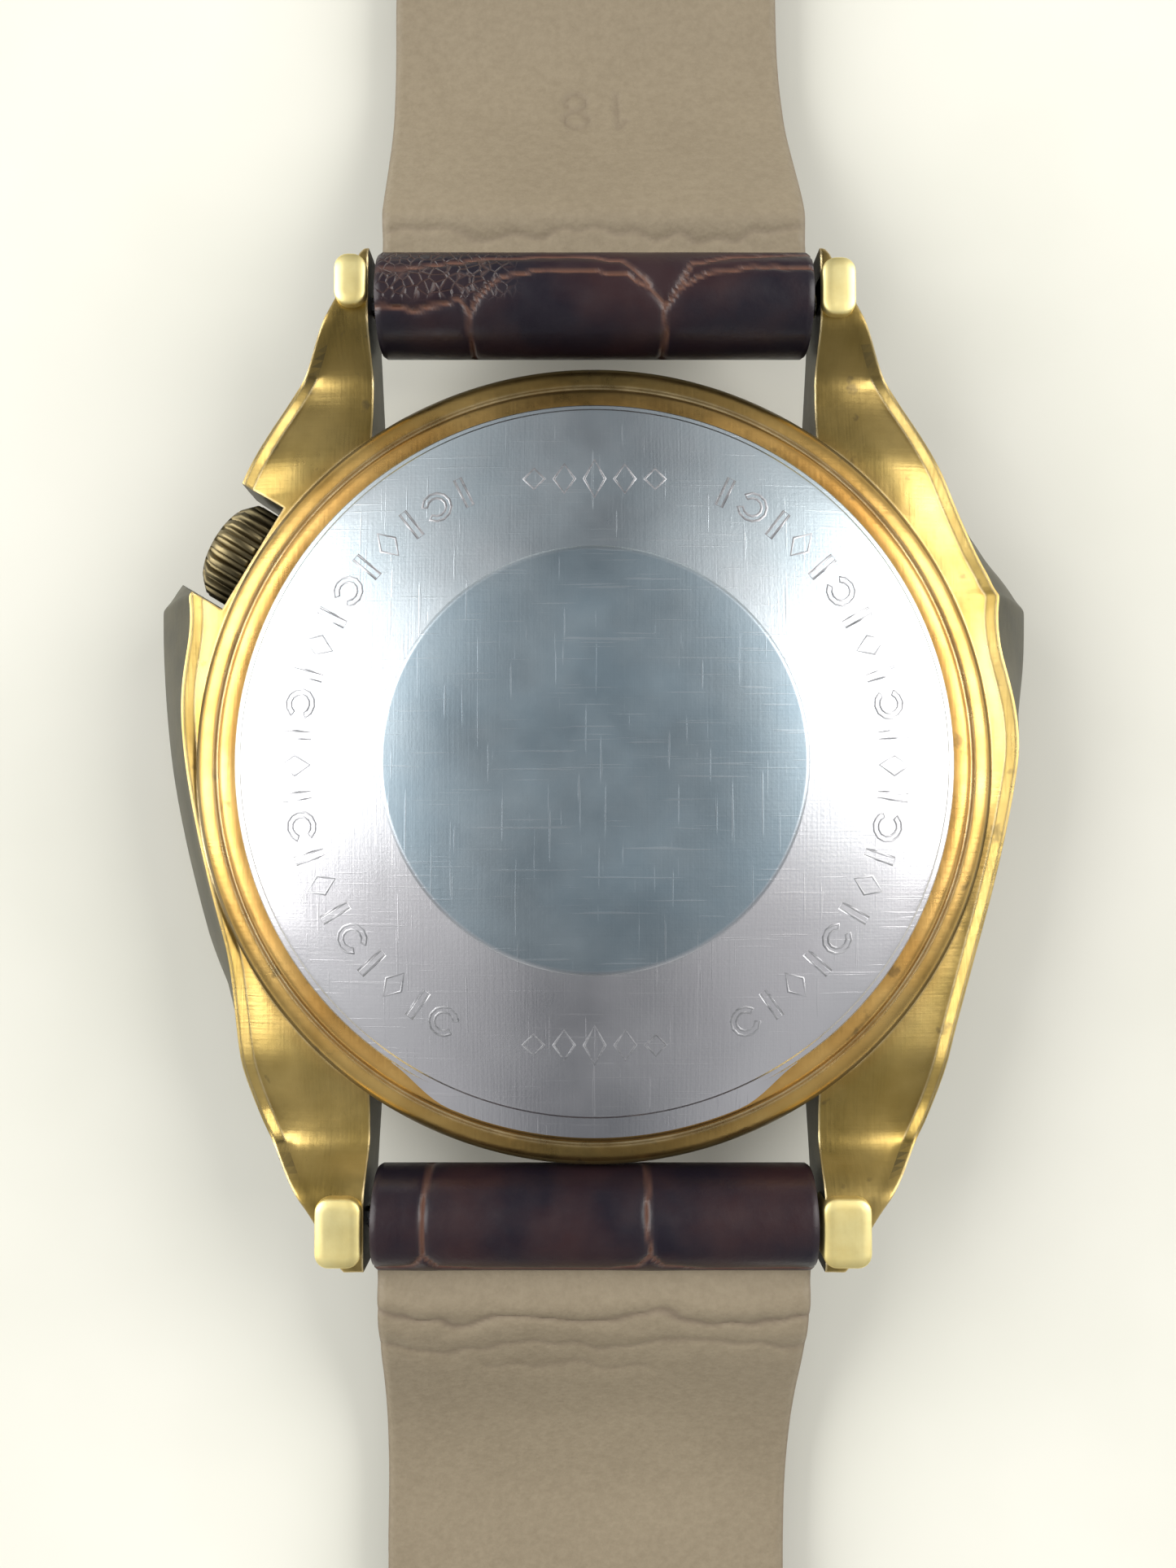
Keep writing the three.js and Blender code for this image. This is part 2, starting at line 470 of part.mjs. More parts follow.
function addPlates() {
  const stemSlot = box(6.4, REACH, -0.55, 0.55, 0, REACH).rotateZ(CROWN_ANGLE);
  const pinionPocket = box(7.2, CROWN_WHEEL_OUT + WINDING_FACE_R + 0.4, -1.1, 1.1, 0, REACH).rotateZ(CROWN_ANGLE);
  const lever = new THREE.Vector2(GROOVE + CROWN_PULL / 2, -2).rotateAround(new THREE.Vector2(), CROWN_ANGLE);
  const bores = [[THIRD_AT, 0.19], [ESCAPE_AT, 0.16], [PALLET_AT, 0.16], [BALANCE_AT, 0.16], [BARREL_AT, 0.56], [lever, 0.27]];
  const holes = bores.map(([at, r]) => post(at, r, 0, REACH));
  const minutePost = post(MINUTE_AT, 0.24, 3.3, PLATE_Z + 0.2);
  const mainPlate = cut(disc(PLATE_R, PLATE_Z, PLATE_TOP_Z, PLAIN), disc(0.48, 0, REACH), stemSlot, pinionPocket, ...holes);
  add('main_plate', join(mainPlate, minutePost), PLATED);

  const stemNotch = box(10, REACH, -0.7, 0.7, 0, REACH).rotateZ(CROWN_ANGLE);
  add('movement_holder', cut(ring(PLATE_R + 0.05, BORE_R - 0.05, 3.4, PLATE_TOP_Z), stemNotch), PLASTIC);
  [60, 285].forEach((degrees, i) => {
    const screw = turned([[0, PLATE_TOP_Z + GAP], [0.7, PLATE_TOP_Z + GAP], [0.7, 5.3], [0.5, 5.4], [0, 5.4]], SMALL);
    add(`casing_screw_${i + 1}`, screw, STEEL, polar(12.4, degrees));
  });

  const blank = disc(BRIDGE_R, BRIDGE_Z, BRIDGE_TOP_Z, PLAIN);
  const barrelHalf = common(blank, box(-REACH, REACH, 1.3, REACH, 0, REACH));
  const crownWheelCore = post(CROWN_WHEEL_AT, 0.5, PLATE_TOP_Z + 0.05, BRIDGE_Z + 0.1, SMALL);
  const barrelBridge = join(barrelHalf, foot(45), foot(112), foot(170), crownWheelCore);
  add('barrel_bridge', cut(barrelBridge, post(BARREL_AT, 0.56, 0, REACH)), PLATED);

  const trainSide = plate(outline([[-4.2, 1], [-4, -3.4], [-2.2, -7.5], [-2.2, -REACH], [REACH, -REACH], [REACH, 1]]), 0, REACH);
  const trainHoles = [post(THIRD_AT, 0.19, 0, REACH), post(ESCAPE_AT, 0.16, 0, REACH), disc(0.16, 0, REACH)];
  add('train_bridge', cut(join(common(blank, trainSide), foot(-20), foot(268)), ...trainHoles), PLATED);

  const cockFoot = polar(10.9, 190);
  const along = cockFoot.clone().sub(BALANCE_AT);
  const strip = box(0, along.length(), -1.1, 1.1, 7.05, 7.6).rotateZ(along.angle()).translate(BALANCE_AT.x, BALANCE_AT.y, 0);
  const cock = join(strip, post(BALANCE_AT, 1.3, 7.05, 7.6, SMALL), post(cockFoot, 1.1, PLATE_TOP_Z + 0.02, 7.6, SMALL));
  add('balance_cock', cut(cock, post(BALANCE_AT, 0.16, 0, REACH)), PLATED);

  const across = BALANCE_AT.clone().sub(PALLET_AT).rotateAround(new THREE.Vector2(), -Math.PI / 2).setLength(2.6);
  const palletFoot = PALLET_AT.clone().add(across);
  const palletStrip = box(-0.4, across.length(), -0.4, 0.4, 5.82, 6.08).rotateZ(across.angle()).translate(PALLET_AT.x, PALLET_AT.y, 0);
  const palletCock = join(palletStrip, post(palletFoot, 0.5, PLATE_TOP_Z + 0.02, 6.08));
  add('pallet_cock', cut(palletCock, post(PALLET_AT, 0.16, 0, REACH)), PLATED);
}

function addRotor() {
  const hub = 1.6;
  add('rotor_post', cut(disc(0.85, BRIDGE_TOP_Z + 0.02, 8.6), disc(0.4, 8.1, REACH, TINY)), STEEL);
  const half = box(-REACH, REACH, -REACH, 0, 0, REACH);
  const web = common(disc(10.6, 8.3, 8.5, PLAIN), half);
  const weight = common(ring(10.2, 12, 8.3, 8.8, PLAIN), half);
  add('rotor', cut(join(web, weight, disc(hub, 8.3, 8.5)), disc(0.9, 0, REACH)), BRASS);
  add('rotor_screw', turned([[0, 8.15], [0.36, 8.15], [0.36, 8.63], [1.3, 8.63], [1.3, 8.9], [0, 8.9]], SMALL), STEEL);
}

// ---------------------------------------------------------------- dial, motion work and hands

const clockAngle = (hours) => Math.PI / 2 + hours * Math.PI / 6; // seen from the back, time runs to the left

function addDial() {
  const marker = (hour) => box(10.6, 12.2, -0.3, 0.3, DIAL_Z - 0.2, DIAL_Z + 0.05).rotateZ(clockAngle(hour));
  const markers = Array.from({ length: 12 }, (_, hour) => marker(hour));
  const blank = disc(BORE_R - 0.15, DIAL_Z, DIAL_TOP_Z, FINE);
  add('dial', cut(join(blank, ...markers), disc(1.1, 0, REACH)), DIAL);
}

// A tapered hand on a round hub, pointing along +X before it is set.
function hand(length, tail, halfWidth, hubBore, z0, z1, pointsAt) {
  const blade = outline([[-tail, -halfWidth * 0.6], [hubBore, -halfWidth], [length, -0.06], [length, 0.06], [hubBore, halfWidth], [-tail, halfWidth * 0.6]]);
  const whole = join(plate(blade, z0, z1), disc(hubBore + 0.45, z0, z1, SMALL));
  return cut(whole, disc(hubBore, 0, REACH)).rotateZ(pointsAt);
}

function addHands() {
  const minuteAngle = MINUTE_AT.angle();
  const distance = MINUTE_AT.length();
  const cannonTeeth = gear(TEETH.cannon, pitch(distance, TEETH.cannon, TEETH.minute), 0.3, minuteAngle, true, 3.7, 3.95);
  add('cannon_pinion', cut(join(cannonTeeth, disc(0.72, 2.15, 3.8)), disc(0.46, 0, REACH)), STEEL);
  const wheel = gear(TEETH.minute, pitch(distance, TEETH.minute, TEETH.cannon), 0.3, minuteAngle + Math.PI, false, 3.72, 3.92);
  const pinion = gear(TEETH.minutePinion, pitch(distance, TEETH.minutePinion, TEETH.hour), 0.28, minuteAngle + Math.PI, false, 3.35, 3.8);
  add('minute_wheel', cut(join(wheel, pinion), disc(0.28, 0, REACH, TINY)), BRASS, MINUTE_AT);
  const hourWheel = gear(TEETH.hour, pitch(distance, TEETH.hour, TEETH.minutePinion), 0.28, minuteAngle, true, 3.38, 3.6);
  add('hour_wheel', cut(join(hourWheel, disc(1.02, 2.45, 3.5)), disc(0.77, 0, REACH)), BRASS);

  const [hour, minute, second] = [10 + 9 / 60, 9 / 5, 6.4]; // nine minutes past ten, on the hour scale
  add('hour_hand', hand(7.6, 2, 0.75, 1.05, 2.5, 2.62, clockAngle(hour)), GOLD);
  add('minute_hand', hand(11, 2.4, 0.6, 0.75, 2.2, 2.32, clockAngle(minute)), GOLD);
  add('seconds_hand', hand(11.6, 3.4, 0.2, 0.15, 1.85, 1.93, clockAngle(second)), GOLD);
}

// ---------------------------------------------------------------- spring bars

function addSpringBars() {
  for (const [label, y] of [['12', BAR_12], ['6', BAR_6]]) {
    const bodyEnd = 7.3;
    add(`spring_bar_${label}`, rodAlongX(tube(0.48, 0.75, -bodyEnd, bodyEnd), y, BAR_Z, TINY), STEEL);
    for (const [side, name] of [[1, 'right'], [-1, 'left']]) {
      const tip = rodAlongX([[0, 6.6], [0.38, 6.6], [0.38, 8.25], [0.65, 8.25], [0.65, 8.55], [0.38, 8.55], [0.38, 9.9], [0, 9.9]], 0, 0, TINY);
      if (side < 0) tip.rotateZ(Math.PI);
      add(`spring_bar_${label}_tip_${name}`, tip.translate(0, y, BAR_Z), STEEL);
    }
  }
}

// ---------------------------------------------------------------- strap

// Underside of the strap at a distance from the centre: from the spring bar down to the table, and up
// again where the keepers and buckle hold it off the table.
function underside(distance, bar, lifted) {
  const fall = 1 - smoothstep(distance, bar, bar + STRAP.run);
  const lift = lifted ? KEEPER_LIFT * smoothstep(distance, 50, 58) : 0;
  return (BAR_Z - STRAP.tube) * fall + lift;
}

// The leather is thick where it comes off the tube and thins as it leaves the filler.
const leather = (distance, bar) => STRAP.leather + 1.1 * (1 - smoothstep(distance, bar + STRAP.tube, bar + 10));

const stations = (from, to, lifted) => {
  const slope = [0.6, 2, 4, 6, 8, 10, 12].map((d) => from + d);
  const lifts = lifted ? [50, 52, 54, 56, 58] : [];
  return [...slope, ...lifts, to];
};

function strapLeather(bar, end, lifted, tubeAtEnd) {
  const run = stations(bar + STRAP.tube, end, lifted);
  const under = run.map((d) => [d, underside(d, bar, lifted)]);
  const over = run.map((d) => [d, underside(d, bar, lifted) + leather(d, bar)]);
  const wrap = [];
  for (let i = 0; i <= 10; i += 1) {
    const angle = degToRad(lerp(0, 270, i / 10));
    wrap.push([bar + STRAP.tube * Math.cos(angle), BAR_Z + STRAP.tube * Math.sin(angle)]);
  }
  const profile = outline([...wrap, ...under, ...over.reverse()]);
  const bore = new THREE.Path().absarc(bar, BAR_Z, STRAP.bore, 0, 2 * Math.PI);
  profile.holes.push(bore);
  const body = drawnAlongX(profile, -1, 1);
  if (!tubeAtEnd) return body;
  const endTube = rodAlongX(rod(BUCKLE_TUBE_R, -1, 1), SHORT_END, BUCKLE_BAR_Z, SMALL);
  const endBore = rodAlongX(rod(0.9, -2, 2), SHORT_END, BUCKLE_BAR_Z, SMALL);
  return cut(join(body, endTube), endBore);
}

function strapLining(bar, end, lifted) {
  const run = stations(bar + STRAP.tube, end, lifted);
  const base = (d) => underside(d, bar, lifted) + leather(d, bar) + GAP;
  const under = run.map((d) => [d, base(d)]);
  const over = run.map((d) => [d, base(d) + STRAP.lining * smoothstep(d, bar + 1.8, bar + 4)]);
  return drawnAlongX(outline([...under, ...over.reverse()]), -1, 1);
}

// Widths: the pieces above are 2 mm wide blanks, spread here to the strap's taper.
function spread(geometry, bar, end) {
  const position = geometry.attributes.position;
  for (let i = 0; i < position.count; i += 1) {
    const along = (position.getY(i) - bar) / (end - bar);
    position.setX(i, position.getX(i) * lerp(STRAP.lugHalf, STRAP.tipHalf, Math.max(0, along)));
  }
  return geometry;
}

function addShortStrap() {
  const slot = box(-1.3, 1.3, SHORT_END - 3.2, SHORT_END + 3, 0, REACH);
  const outer = spread(strapLeather(BAR_12, SHORT_END, true, true), BAR_12, SHORT_END);
  add('strap_short_leather', cut(outer, slot), LEATHER);
  const liningEnd = SHORT_END - 3.6;
  add('strap_short_lining', spread(strapLining(BAR_12, liningEnd, true), BAR_12, SHORT_END), LINING);
}

function addLongStrap() {
  const bar = -BAR_6;
  const half = STRAP.tipHalf;
  const tip = plate(new THREE.Shape().moveTo(-REACH, 0).lineTo(REACH, 0).lineTo(REACH, LONG_END - 10)
    .lineTo(half, LONG_END - 10).quadraticCurveTo(half * 0.8, LONG_END - 2, 0, LONG_END)
    .quadraticCurveTo(-half * 0.8, LONG_END - 2, -half, LONG_END - 10).lineTo(-REACH, LONG_END - 10), -REACH, REACH);
  const holes = Array.from({ length: 7 }, (_, i) => post(new THREE.Vector2(0, LONG_END - 18 - 6 * i), 0.9, -1, REACH));
  const shape = (blank) => cut(common(spread(blank, bar, LONG_END), tip), ...holes).rotateZ(Math.PI);
  add('strap_long_leather', shape(strapLeather(bar, LONG_END, false, false)), LEATHER);
  add('strap_long_lining', shape(strapLining(bar, LONG_END, false)), LINING);
}

// A flat leather band round the strap, open enough for the long piece to pass over the short one.
function keeper(y, width) {
  const inside = { half: 8.5, low: KEEPER_WALL + 0.05, high: 6.1 };
  const block = box(-inside.half - KEEPER_WALL, inside.half + KEEPER_WALL, y, y + width, 0.05, inside.high + KEEPER_WALL);
  return cut(block, box(-inside.half, inside.half, y - 1, y + width + 1, inside.low, inside.high));
}

// ---------------------------------------------------------------- buckle

function addBuckle() {
  const swing = new THREE.Group(); // turns about the buckle bar, down to the table
  swing.position.set(0, SHORT_END, BUCKLE_BAR_Z);
  swing.rotation.x = degToRad(-9);
  watch.add(swing);
  const frame = new THREE.Shape().moveTo(-10, -1.4).lineTo(-8.4, -1.4).lineTo(-8.4, 8).lineTo(8.4, 8)
    .lineTo(8.4, -1.4).lineTo(10, -1.4).lineTo(10, 8).quadraticCurveTo(10, 10.4, 7.6, 10.4)
    .lineTo(-7.6, 10.4).quadraticCurveTo(-10, 10.4, -10, 8).lineTo(-10, -1.4);
  const ears = rodAlongX(rod(0.8, -REACH, REACH), 0, 0, TINY);
  add('buckle_frame', cut(plate(frame, -0.9, 0.9), ears), GOLD, new THREE.Vector2(), swing);
  const tongue = join(
    rodAlongX(rod(1.25, -0.9, 0.9), 0, 0, SMALL),
    drawnAlongX(outline([[0, 0.2], [4, 0.9], [8, 1.2], [11, 1.2], [11, 1.95], [8, 2.1], [0, 1.25]]), -0.8, 0.8));
  add('buckle_tongue', cut(tongue, rodAlongX(rod(0.82, -REACH, REACH), 0, 0, TINY)), GOLD, new THREE.Vector2(), swing);
  add('buckle_bar', rodAlongX(rod(0.7, -9.7, 9.7), SHORT_END, BUCKLE_BAR_Z, TINY), STEEL);
}

addCase();
addCrown();
addKeylessWorks();
addTrain();
addEscapement();
addPlates();
addRotor();
addDial();
addHands();
addSpringBars();
addShortStrap();
addLongStrap();
add('fixed_keeper', keeper(84, 5), LEATHER);
add('free_keeper', keeper(76, 5), LEATHER);
addBuckle();

export default watch;
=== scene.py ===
"""Looks of the wristwatch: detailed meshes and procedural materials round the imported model."""
import json
import math

import bmesh
import bpy
from mathutils import Matrix, Vector, noise


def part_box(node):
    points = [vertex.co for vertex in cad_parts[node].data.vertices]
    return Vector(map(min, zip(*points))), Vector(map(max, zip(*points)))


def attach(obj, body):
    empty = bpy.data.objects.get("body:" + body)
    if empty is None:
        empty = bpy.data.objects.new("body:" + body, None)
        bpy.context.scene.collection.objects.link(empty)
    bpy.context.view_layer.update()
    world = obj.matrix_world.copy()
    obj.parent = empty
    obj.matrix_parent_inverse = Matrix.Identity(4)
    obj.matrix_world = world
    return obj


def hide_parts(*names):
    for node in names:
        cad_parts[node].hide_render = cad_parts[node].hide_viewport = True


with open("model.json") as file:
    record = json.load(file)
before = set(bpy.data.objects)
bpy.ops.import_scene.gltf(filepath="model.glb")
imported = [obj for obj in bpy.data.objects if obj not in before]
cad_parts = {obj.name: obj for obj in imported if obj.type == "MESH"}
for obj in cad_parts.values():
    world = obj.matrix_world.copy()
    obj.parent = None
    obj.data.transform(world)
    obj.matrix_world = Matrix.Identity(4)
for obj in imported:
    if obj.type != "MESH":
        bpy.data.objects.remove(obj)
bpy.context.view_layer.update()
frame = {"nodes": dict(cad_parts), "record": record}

MM = 0.001

# ---------------- sizes in mm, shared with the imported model


def box_mm(node):
    low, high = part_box(node)
    return [v / MM for v in low], [v / MM for v in high]


def middle(node, axis):
    low, high = box_mm(node)
    return (low[axis] + high[axis]) / 2


BAR_Y = {"12": middle("spring_bar_12", 1), "6": middle("spring_bar_6", 1)}
BAR_Z = middle("spring_bar_12", 2)
BACK_HIGH = box_mm("case_back")[1]
FLANGE_R, BACK_TOP = BACK_HIGH[0], BACK_HIGH[2]
BACK_R = FLANGE_R - 0.4  # the dome stands in from its flange
BACK_FLAT_R = 7.95
BACK_RIM_Z = 9.5  # height of the dome's outer edge
CROWN_ANGLE = math.radians(149)
CROWN_FLUTES = 22
STEM_Z = 4.5
CROWN_IN, CROWN_OUT, CROWN_R = 16.25, 18.15, 2.2
NOTCH_FLOOR, NOTCH_HALF = 16.1, 2.4  # cut in the case for the crown
RING_R, RING_Z, BORE_R = 16.0, 8.2, 13.5  # turned ring round the case back
NECK_R, NECK_BORE_R, NECK_Z = 15.0, 13.95, 1.6  # the ring's neck, inside the bezel
BEZEL_R, CRYSTAL_R, CRYSTAL_Z = 16.05, 14.4, 1.5
GAP_HALF = 9.05  # half the gap between two lugs
GIRDLE = [  # half width of the case at its widest level, from the 12 to the 6 o'clock lug tips
    (10.3, 20.7), (11.5, 18.4), (13.3, 14.8), (15.7, 10.8), (18.3, 7.4), (18.75, 5.9),
    (18.2, -0.6), (16.5, -7.7), (14.1, -14.5), (12.1, -17.9), (10.9, -20.0),
]
DIAL_SIDE_Z, BACK_EDGE_Z, PAD_Z = 2.6, 6.9, 8.2
TUBE_R, LEATHER, LINING = 2.05, 1.3, 1.0  # roll round the spring bar, and thicknesses
LUG_HALF, TIP_HALF = 8.7, 8.0  # half widths of the strap at the lugs and at its ends
STRAP_RUN = 14.0  # length in which the strap comes down from its spring bar to the table
KEEPER_LIFT, LIFT_FROM, LIFT_TO = 1.05, 50, 58  # the short half rises to its keepers
SHORT_END, LONG_END = 93.4, 133.0
STRAP_BORE_R = 0.98
POINT = 10  # length of the long half's rounded point
HOLES, HOLE_PITCH, HOLE_R, LAST_HOLE = 7, 6, 0.9, 18
BUCKLE_TUBE_R = 1.6
BUCKLE_Z = KEEPER_LIFT + BUCKLE_TUBE_R
LEAN = -0.35  # how far each strap half leans sideways near the case
REACH = 30  # longer than anything that a cutting tool has to pass through
AXIS_R = 0.001  # a turned solid starts just off its axis
FINE = 256  # facets round a turned solid

# A ramp runs from 0 to 1, so a place in metres is scaled to make that run 20 or 10 mm.
PER_20_MM, PER_10_MM = 50, 100

# ---------------- mesh helpers


def lerp(a, b, t):
    return a + (b - a) * t


def smooth(value, low, high):
    t = min(1.0, max(0.0, (value - low) / (high - low)))
    return t * t * (3 - 2 * t)


def angles(count):
    """Equal steps once round a circle."""
    return [s * 2 * math.pi / count for s in range(count)]


def make_object(name, points, faces, sharp=35):
    """Object from points in mm, shaded smooth except over sharp edges."""
    mesh = bpy.data.meshes.new(name)
    mesh.from_pydata([[c * MM for c in p] for p in points], [], faces)
    mesh.validate()
    work = bmesh.new()
    work.from_mesh(mesh)
    bmesh.ops.remove_doubles(work, verts=work.verts, dist=1e-7)
    bmesh.ops.recalc_face_normals(work, faces=work.faces)
    work.to_mesh(mesh)
    work.free()
    obj = bpy.data.objects.new(name, mesh)
    bpy.context.scene.collection.objects.link(obj)
    shade(obj, sharp)
    return obj


def shade(obj, sharp=35):
    mesh = obj.data
    mesh.shade_smooth()
    mesh.set_sharp_from_angle(angle=math.radians(sharp))


def skin(sections, closed=False):
    """Points and faces through equal rings of points; an open run is capped at both ends."""
    count = len(sections[0])
    points = [p for section in sections for p in section]
    faces = []
    runs = len(sections) if closed else len(sections) - 1
    for s in range(runs):
        here, after = s * count, (s + 1) % len(sections) * count
        for i in range(count):
            j = (i + 1) % count
            faces.append((here + i, here + j, after + j, after + i))
    if not closed:
        faces.append(tuple(range(count)))
        faces.append(tuple(range(len(points) - count, len(points))))
    return points, faces


def swept(name, sections, closed=False, sharp=35):
    """Object through equal rings of points."""
    points, faces = skin(sections, closed)
    return make_object(name, points, faces, sharp)


def turned(name, profile, segments=FINE, sharp=35):
    """Solid of revolution about Z from a closed loop of (radius, z)."""
    sections = [[(r * math.cos(angle), r * math.sin(angle), z) for r, z in profile]
                for angle in angles(segments)]
    return swept(name, sections, True, sharp)


def box(name, x0, x1, y0, y1, z0, z1, turn=0.0):
    """Block between two corners, then turned about Z."""
    corners = [(x, y, z) for x in (x0, x1) for y in (y0, y1) for z in (z0, z1)]
    faces = [(0, 1, 3, 2), (4, 6, 7, 5), (0, 4, 5, 1), (2, 3, 7, 6), (0, 2, 6, 4), (1, 5, 7, 3)]
    spin = Matrix.Rotation(turn, 3, "Z")
    return make_object(name, [tuple(spin @ Vector(c)) for c in corners], faces)


def rod(name, radius, start, end, segments=32):
    """Round rod between two points."""
    start, end = Vector(start), Vector(end)
    axis = (end - start).normalized()
    side = axis.orthogonal().normalized()
    other = axis.cross(side)
    rings = [[tuple(base + radius * (math.cos(angle) * side + math.sin(angle) * other))
              for angle in angles(segments)] for base in (start, end)]
    return swept(name, rings)


def cross_rod(radius, half_length, y, z):
    """Rod that lies across the strap."""
    return rod("cross_rod", radius, (-half_length, y, z), (half_length, y, z))


def boolean(base, operation, tools):
    """Cuts or joins with throw-away tools and applies the result."""
    bpy.context.view_layer.objects.active = base
    for tool in tools:
        step = base.modifiers.new("step", "BOOLEAN")
        step.operation = operation
        step.solver = "EXACT"
        step.object = tool
        bpy.ops.object.modifier_apply(modifier=step.name)
        bpy.data.objects.remove(tool)


def catmull(points, steps):
    """Smooth curve through points, steps per span."""
    ends = [points[0], *points, points[-1]]
    curve = []
    for i in range(1, len(ends) - 2):
        p0, p1, p2, p3 = (Vector(p) for p in ends[i - 1:i + 3])
        for s in range(steps):
            t = s / steps
            curve.append(0.5 * (2 * p1 + (p2 - p0) * t + (2 * p0 - 5 * p1 + 4 * p2 - p3) * t * t
                                + (3 * p1 - p0 - 3 * p2 + p3) * t ** 3))
    curve.append(Vector(points[-1]))
    return curve


def rounded_ring(half_x, low, high, radius, count):
    """Points round a rectangle with rounded corners, in (x, z)."""
    corners = ((half_x - radius, high - radius, 0), (-half_x + radius, high - radius, 90),
               (-half_x + radius, low + radius, 180), (half_x - radius, low + radius, 270))
    ring = []
    for x, z, first in corners:
        for i in range(count):
            angle = math.radians(first + 90 * i / (count - 1))
            ring.append((x + radius * math.cos(angle), z + radius * math.sin(angle)))
    return ring


def attribute(obj, name, values):
    """A value for each point, which a material can read."""
    layer = obj.data.attributes.new(name, "FLOAT", "POINT")
    layer.data.foreach_set("value", values)


# ---------------- material helpers


class Nodes:
    """Short way to build the node tree of a material, or of the world."""

    def __init__(self, name, owners=bpy.data.materials, shader="Principled BSDF"):
        self.material = owners.new(name)
        self.material.use_nodes = True
        self.tree = self.material.node_tree
        self.shader = self.tree.nodes[shader]

    def add(self, kind, settings=None, **inputs):
        node = self.tree.nodes.new(kind)
        for key, value in (settings or {}).items():
            setattr(node, key, value)
        for key, value in inputs.items():
            self.put(node.inputs[key.replace("_", " ")], value)
        return node

    def put(self, socket, value):
        if isinstance(value, bpy.types.NodeSocket):
            self.tree.links.new(value, socket)
        else:
            socket.default_value = value

    def set(self, **inputs):
        for key, value in inputs.items():
            self.put(self.shader.inputs[key.replace("_", " ")], value)

    def place(self):
        return self.add("ShaderNodeTexCoord").outputs["Object"]

    def stretch(self, scale, turn=0.0):
        node = self.add("ShaderNodeMapping", Vector=self.place())
        node.inputs["Scale"].default_value = scale
        node.inputs["Rotation"].default_value = (0, 0, turn)
        return node.outputs[0]

    def noise(self, scale, detail=4.0, vector=None, rough=0.5):
        node = self.add("ShaderNodeTexNoise", Vector=vector or self.place(), Scale=scale,
                        Detail=detail, Roughness=rough)
        return node.outputs["Fac"]

    def lines(self, scale, turn):
        """Long thin streaks, as brushing and wear leave them."""
        return self.noise(1.0, 2, self.stretch(scale, turn))

    def cells(self, scale, vector=None):
        """Distance to the nearest border between scattered cells."""
        node = self.add("ShaderNodeTexVoronoi", {"feature": "DISTANCE_TO_EDGE"},
                        Vector=vector or self.place(), Scale=scale)
        return node.outputs["Distance"]

    def math(self, operation, a, b=0.0, c=0.0):
        node = self.add("ShaderNodeMath", {"operation": operation})
        for socket, value in zip(node.inputs, (a, b, c)):
            self.put(socket, value)
        return node.outputs[0]

    def times(self, a, b):
        return self.math("MULTIPLY", a, b)

    def ramp(self, value, *stops):
        """Maps a value through (position, level) stops; a level may be a grey or a colour."""
        node = self.add("ShaderNodeValToRGB", Fac=value)
        elements = node.color_ramp.elements
        while len(elements) < len(stops):
            elements.new(0.5)
        for element, (position, level) in zip(elements, stops):
            element.position = position
            grey = isinstance(level, (int, float))
            element.color = (level, level, level, 1) if grey else (*level, 1)
        return node.outputs["Color"]

    def mix(self, factor, a, b, blend="MIX"):
        node = self.add("ShaderNodeMix", {"data_type": "RGBA", "blend_type": blend})
        self.put(node.inputs["Factor"], factor)
        for socket, value in ((node.inputs["A"], a), (node.inputs["B"], b)):
            self.put(socket, (*value, 1) if isinstance(value, tuple) and len(value) == 3 else value)
        return node.outputs["Result"]

    def bump(self, height, distance, strength=1.0, normal=None):
        node = self.add("ShaderNodeBump", Height=height, Distance=distance, Strength=strength)
        if normal is not None:
            self.put(node.inputs["Normal"], normal)
        return node.outputs[0]

    def radius(self, place):
        """Distance from the watch's centre line."""
        squares = [self.math("POWER", place.outputs[axis], 2) for axis in "XY"]
        return self.math("SQRT", self.math("ADD", *squares))

    def edges(self, radius):
        """A rounded normal, and how strongly each point lies on an edge."""
        soft = self.add("ShaderNodeBevel", {"samples": 6}, Radius=radius).outputs[0]
        flat = self.add("ShaderNodeNewGeometry").outputs["Normal"]
        dot = self.add("ShaderNodeVectorMath", {"operation": "DOT_PRODUCT"})
        self.put(dot.inputs[0], soft)
        self.put(dot.inputs[1], flat)
        return soft, self.ramp(dot.outputs["Value"], (0.9, 1.0), (0.995, 0.0))

    def field(self, name):
        """Reads a mesh attribute."""
        return self.add("ShaderNodeAttribute", {"attribute_name": name}).outputs["Fac"]


def paint(obj, material):
    obj.data.materials.clear()
    obj.data.materials.append(material)


def dress(obj, material, body, node=None):
    """Gives a piece its material, hides the CAD node that it replaces, and hangs it on the body that it
    rides.
    """
    paint(obj, material)
    if node:
        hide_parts(node)
    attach(obj, body)


# ---------------- camera, light and table


def add_camera():
    """Looks straight down on the case back from close by."""
    camera = bpy.data.objects.new("camera", bpy.data.cameras.new("camera"))
    bpy.context.scene.collection.objects.link(camera)
    camera.data.lens = 27
    camera.data.sensor_width = 36
    camera.data.clip_start = 0.001
    camera.location = (-0.25 * MM, -2.06 * MM, 54.3 * MM)
    camera.rotation_euler = (math.radians(1.5), 0, 0)
    bpy.context.scene.camera = camera


def add_light(name, place, size, power, colour=(1, 1, 1)):
    """Soft square light that faces the case."""
    light = bpy.data.lights.new(name, "AREA")
    light.shape = "RECTANGLE"
    light.size, light.size_y = size
    light.energy = power
    light.color = colour
    obj = bpy.data.objects.new(name, light)
    obj.location = place
    obj.rotation_euler = (Vector(place) - Vector((0, 0, 0.008))).to_track_quat("Z", "Y").to_euler()
    bpy.context.scene.collection.objects.link(obj)


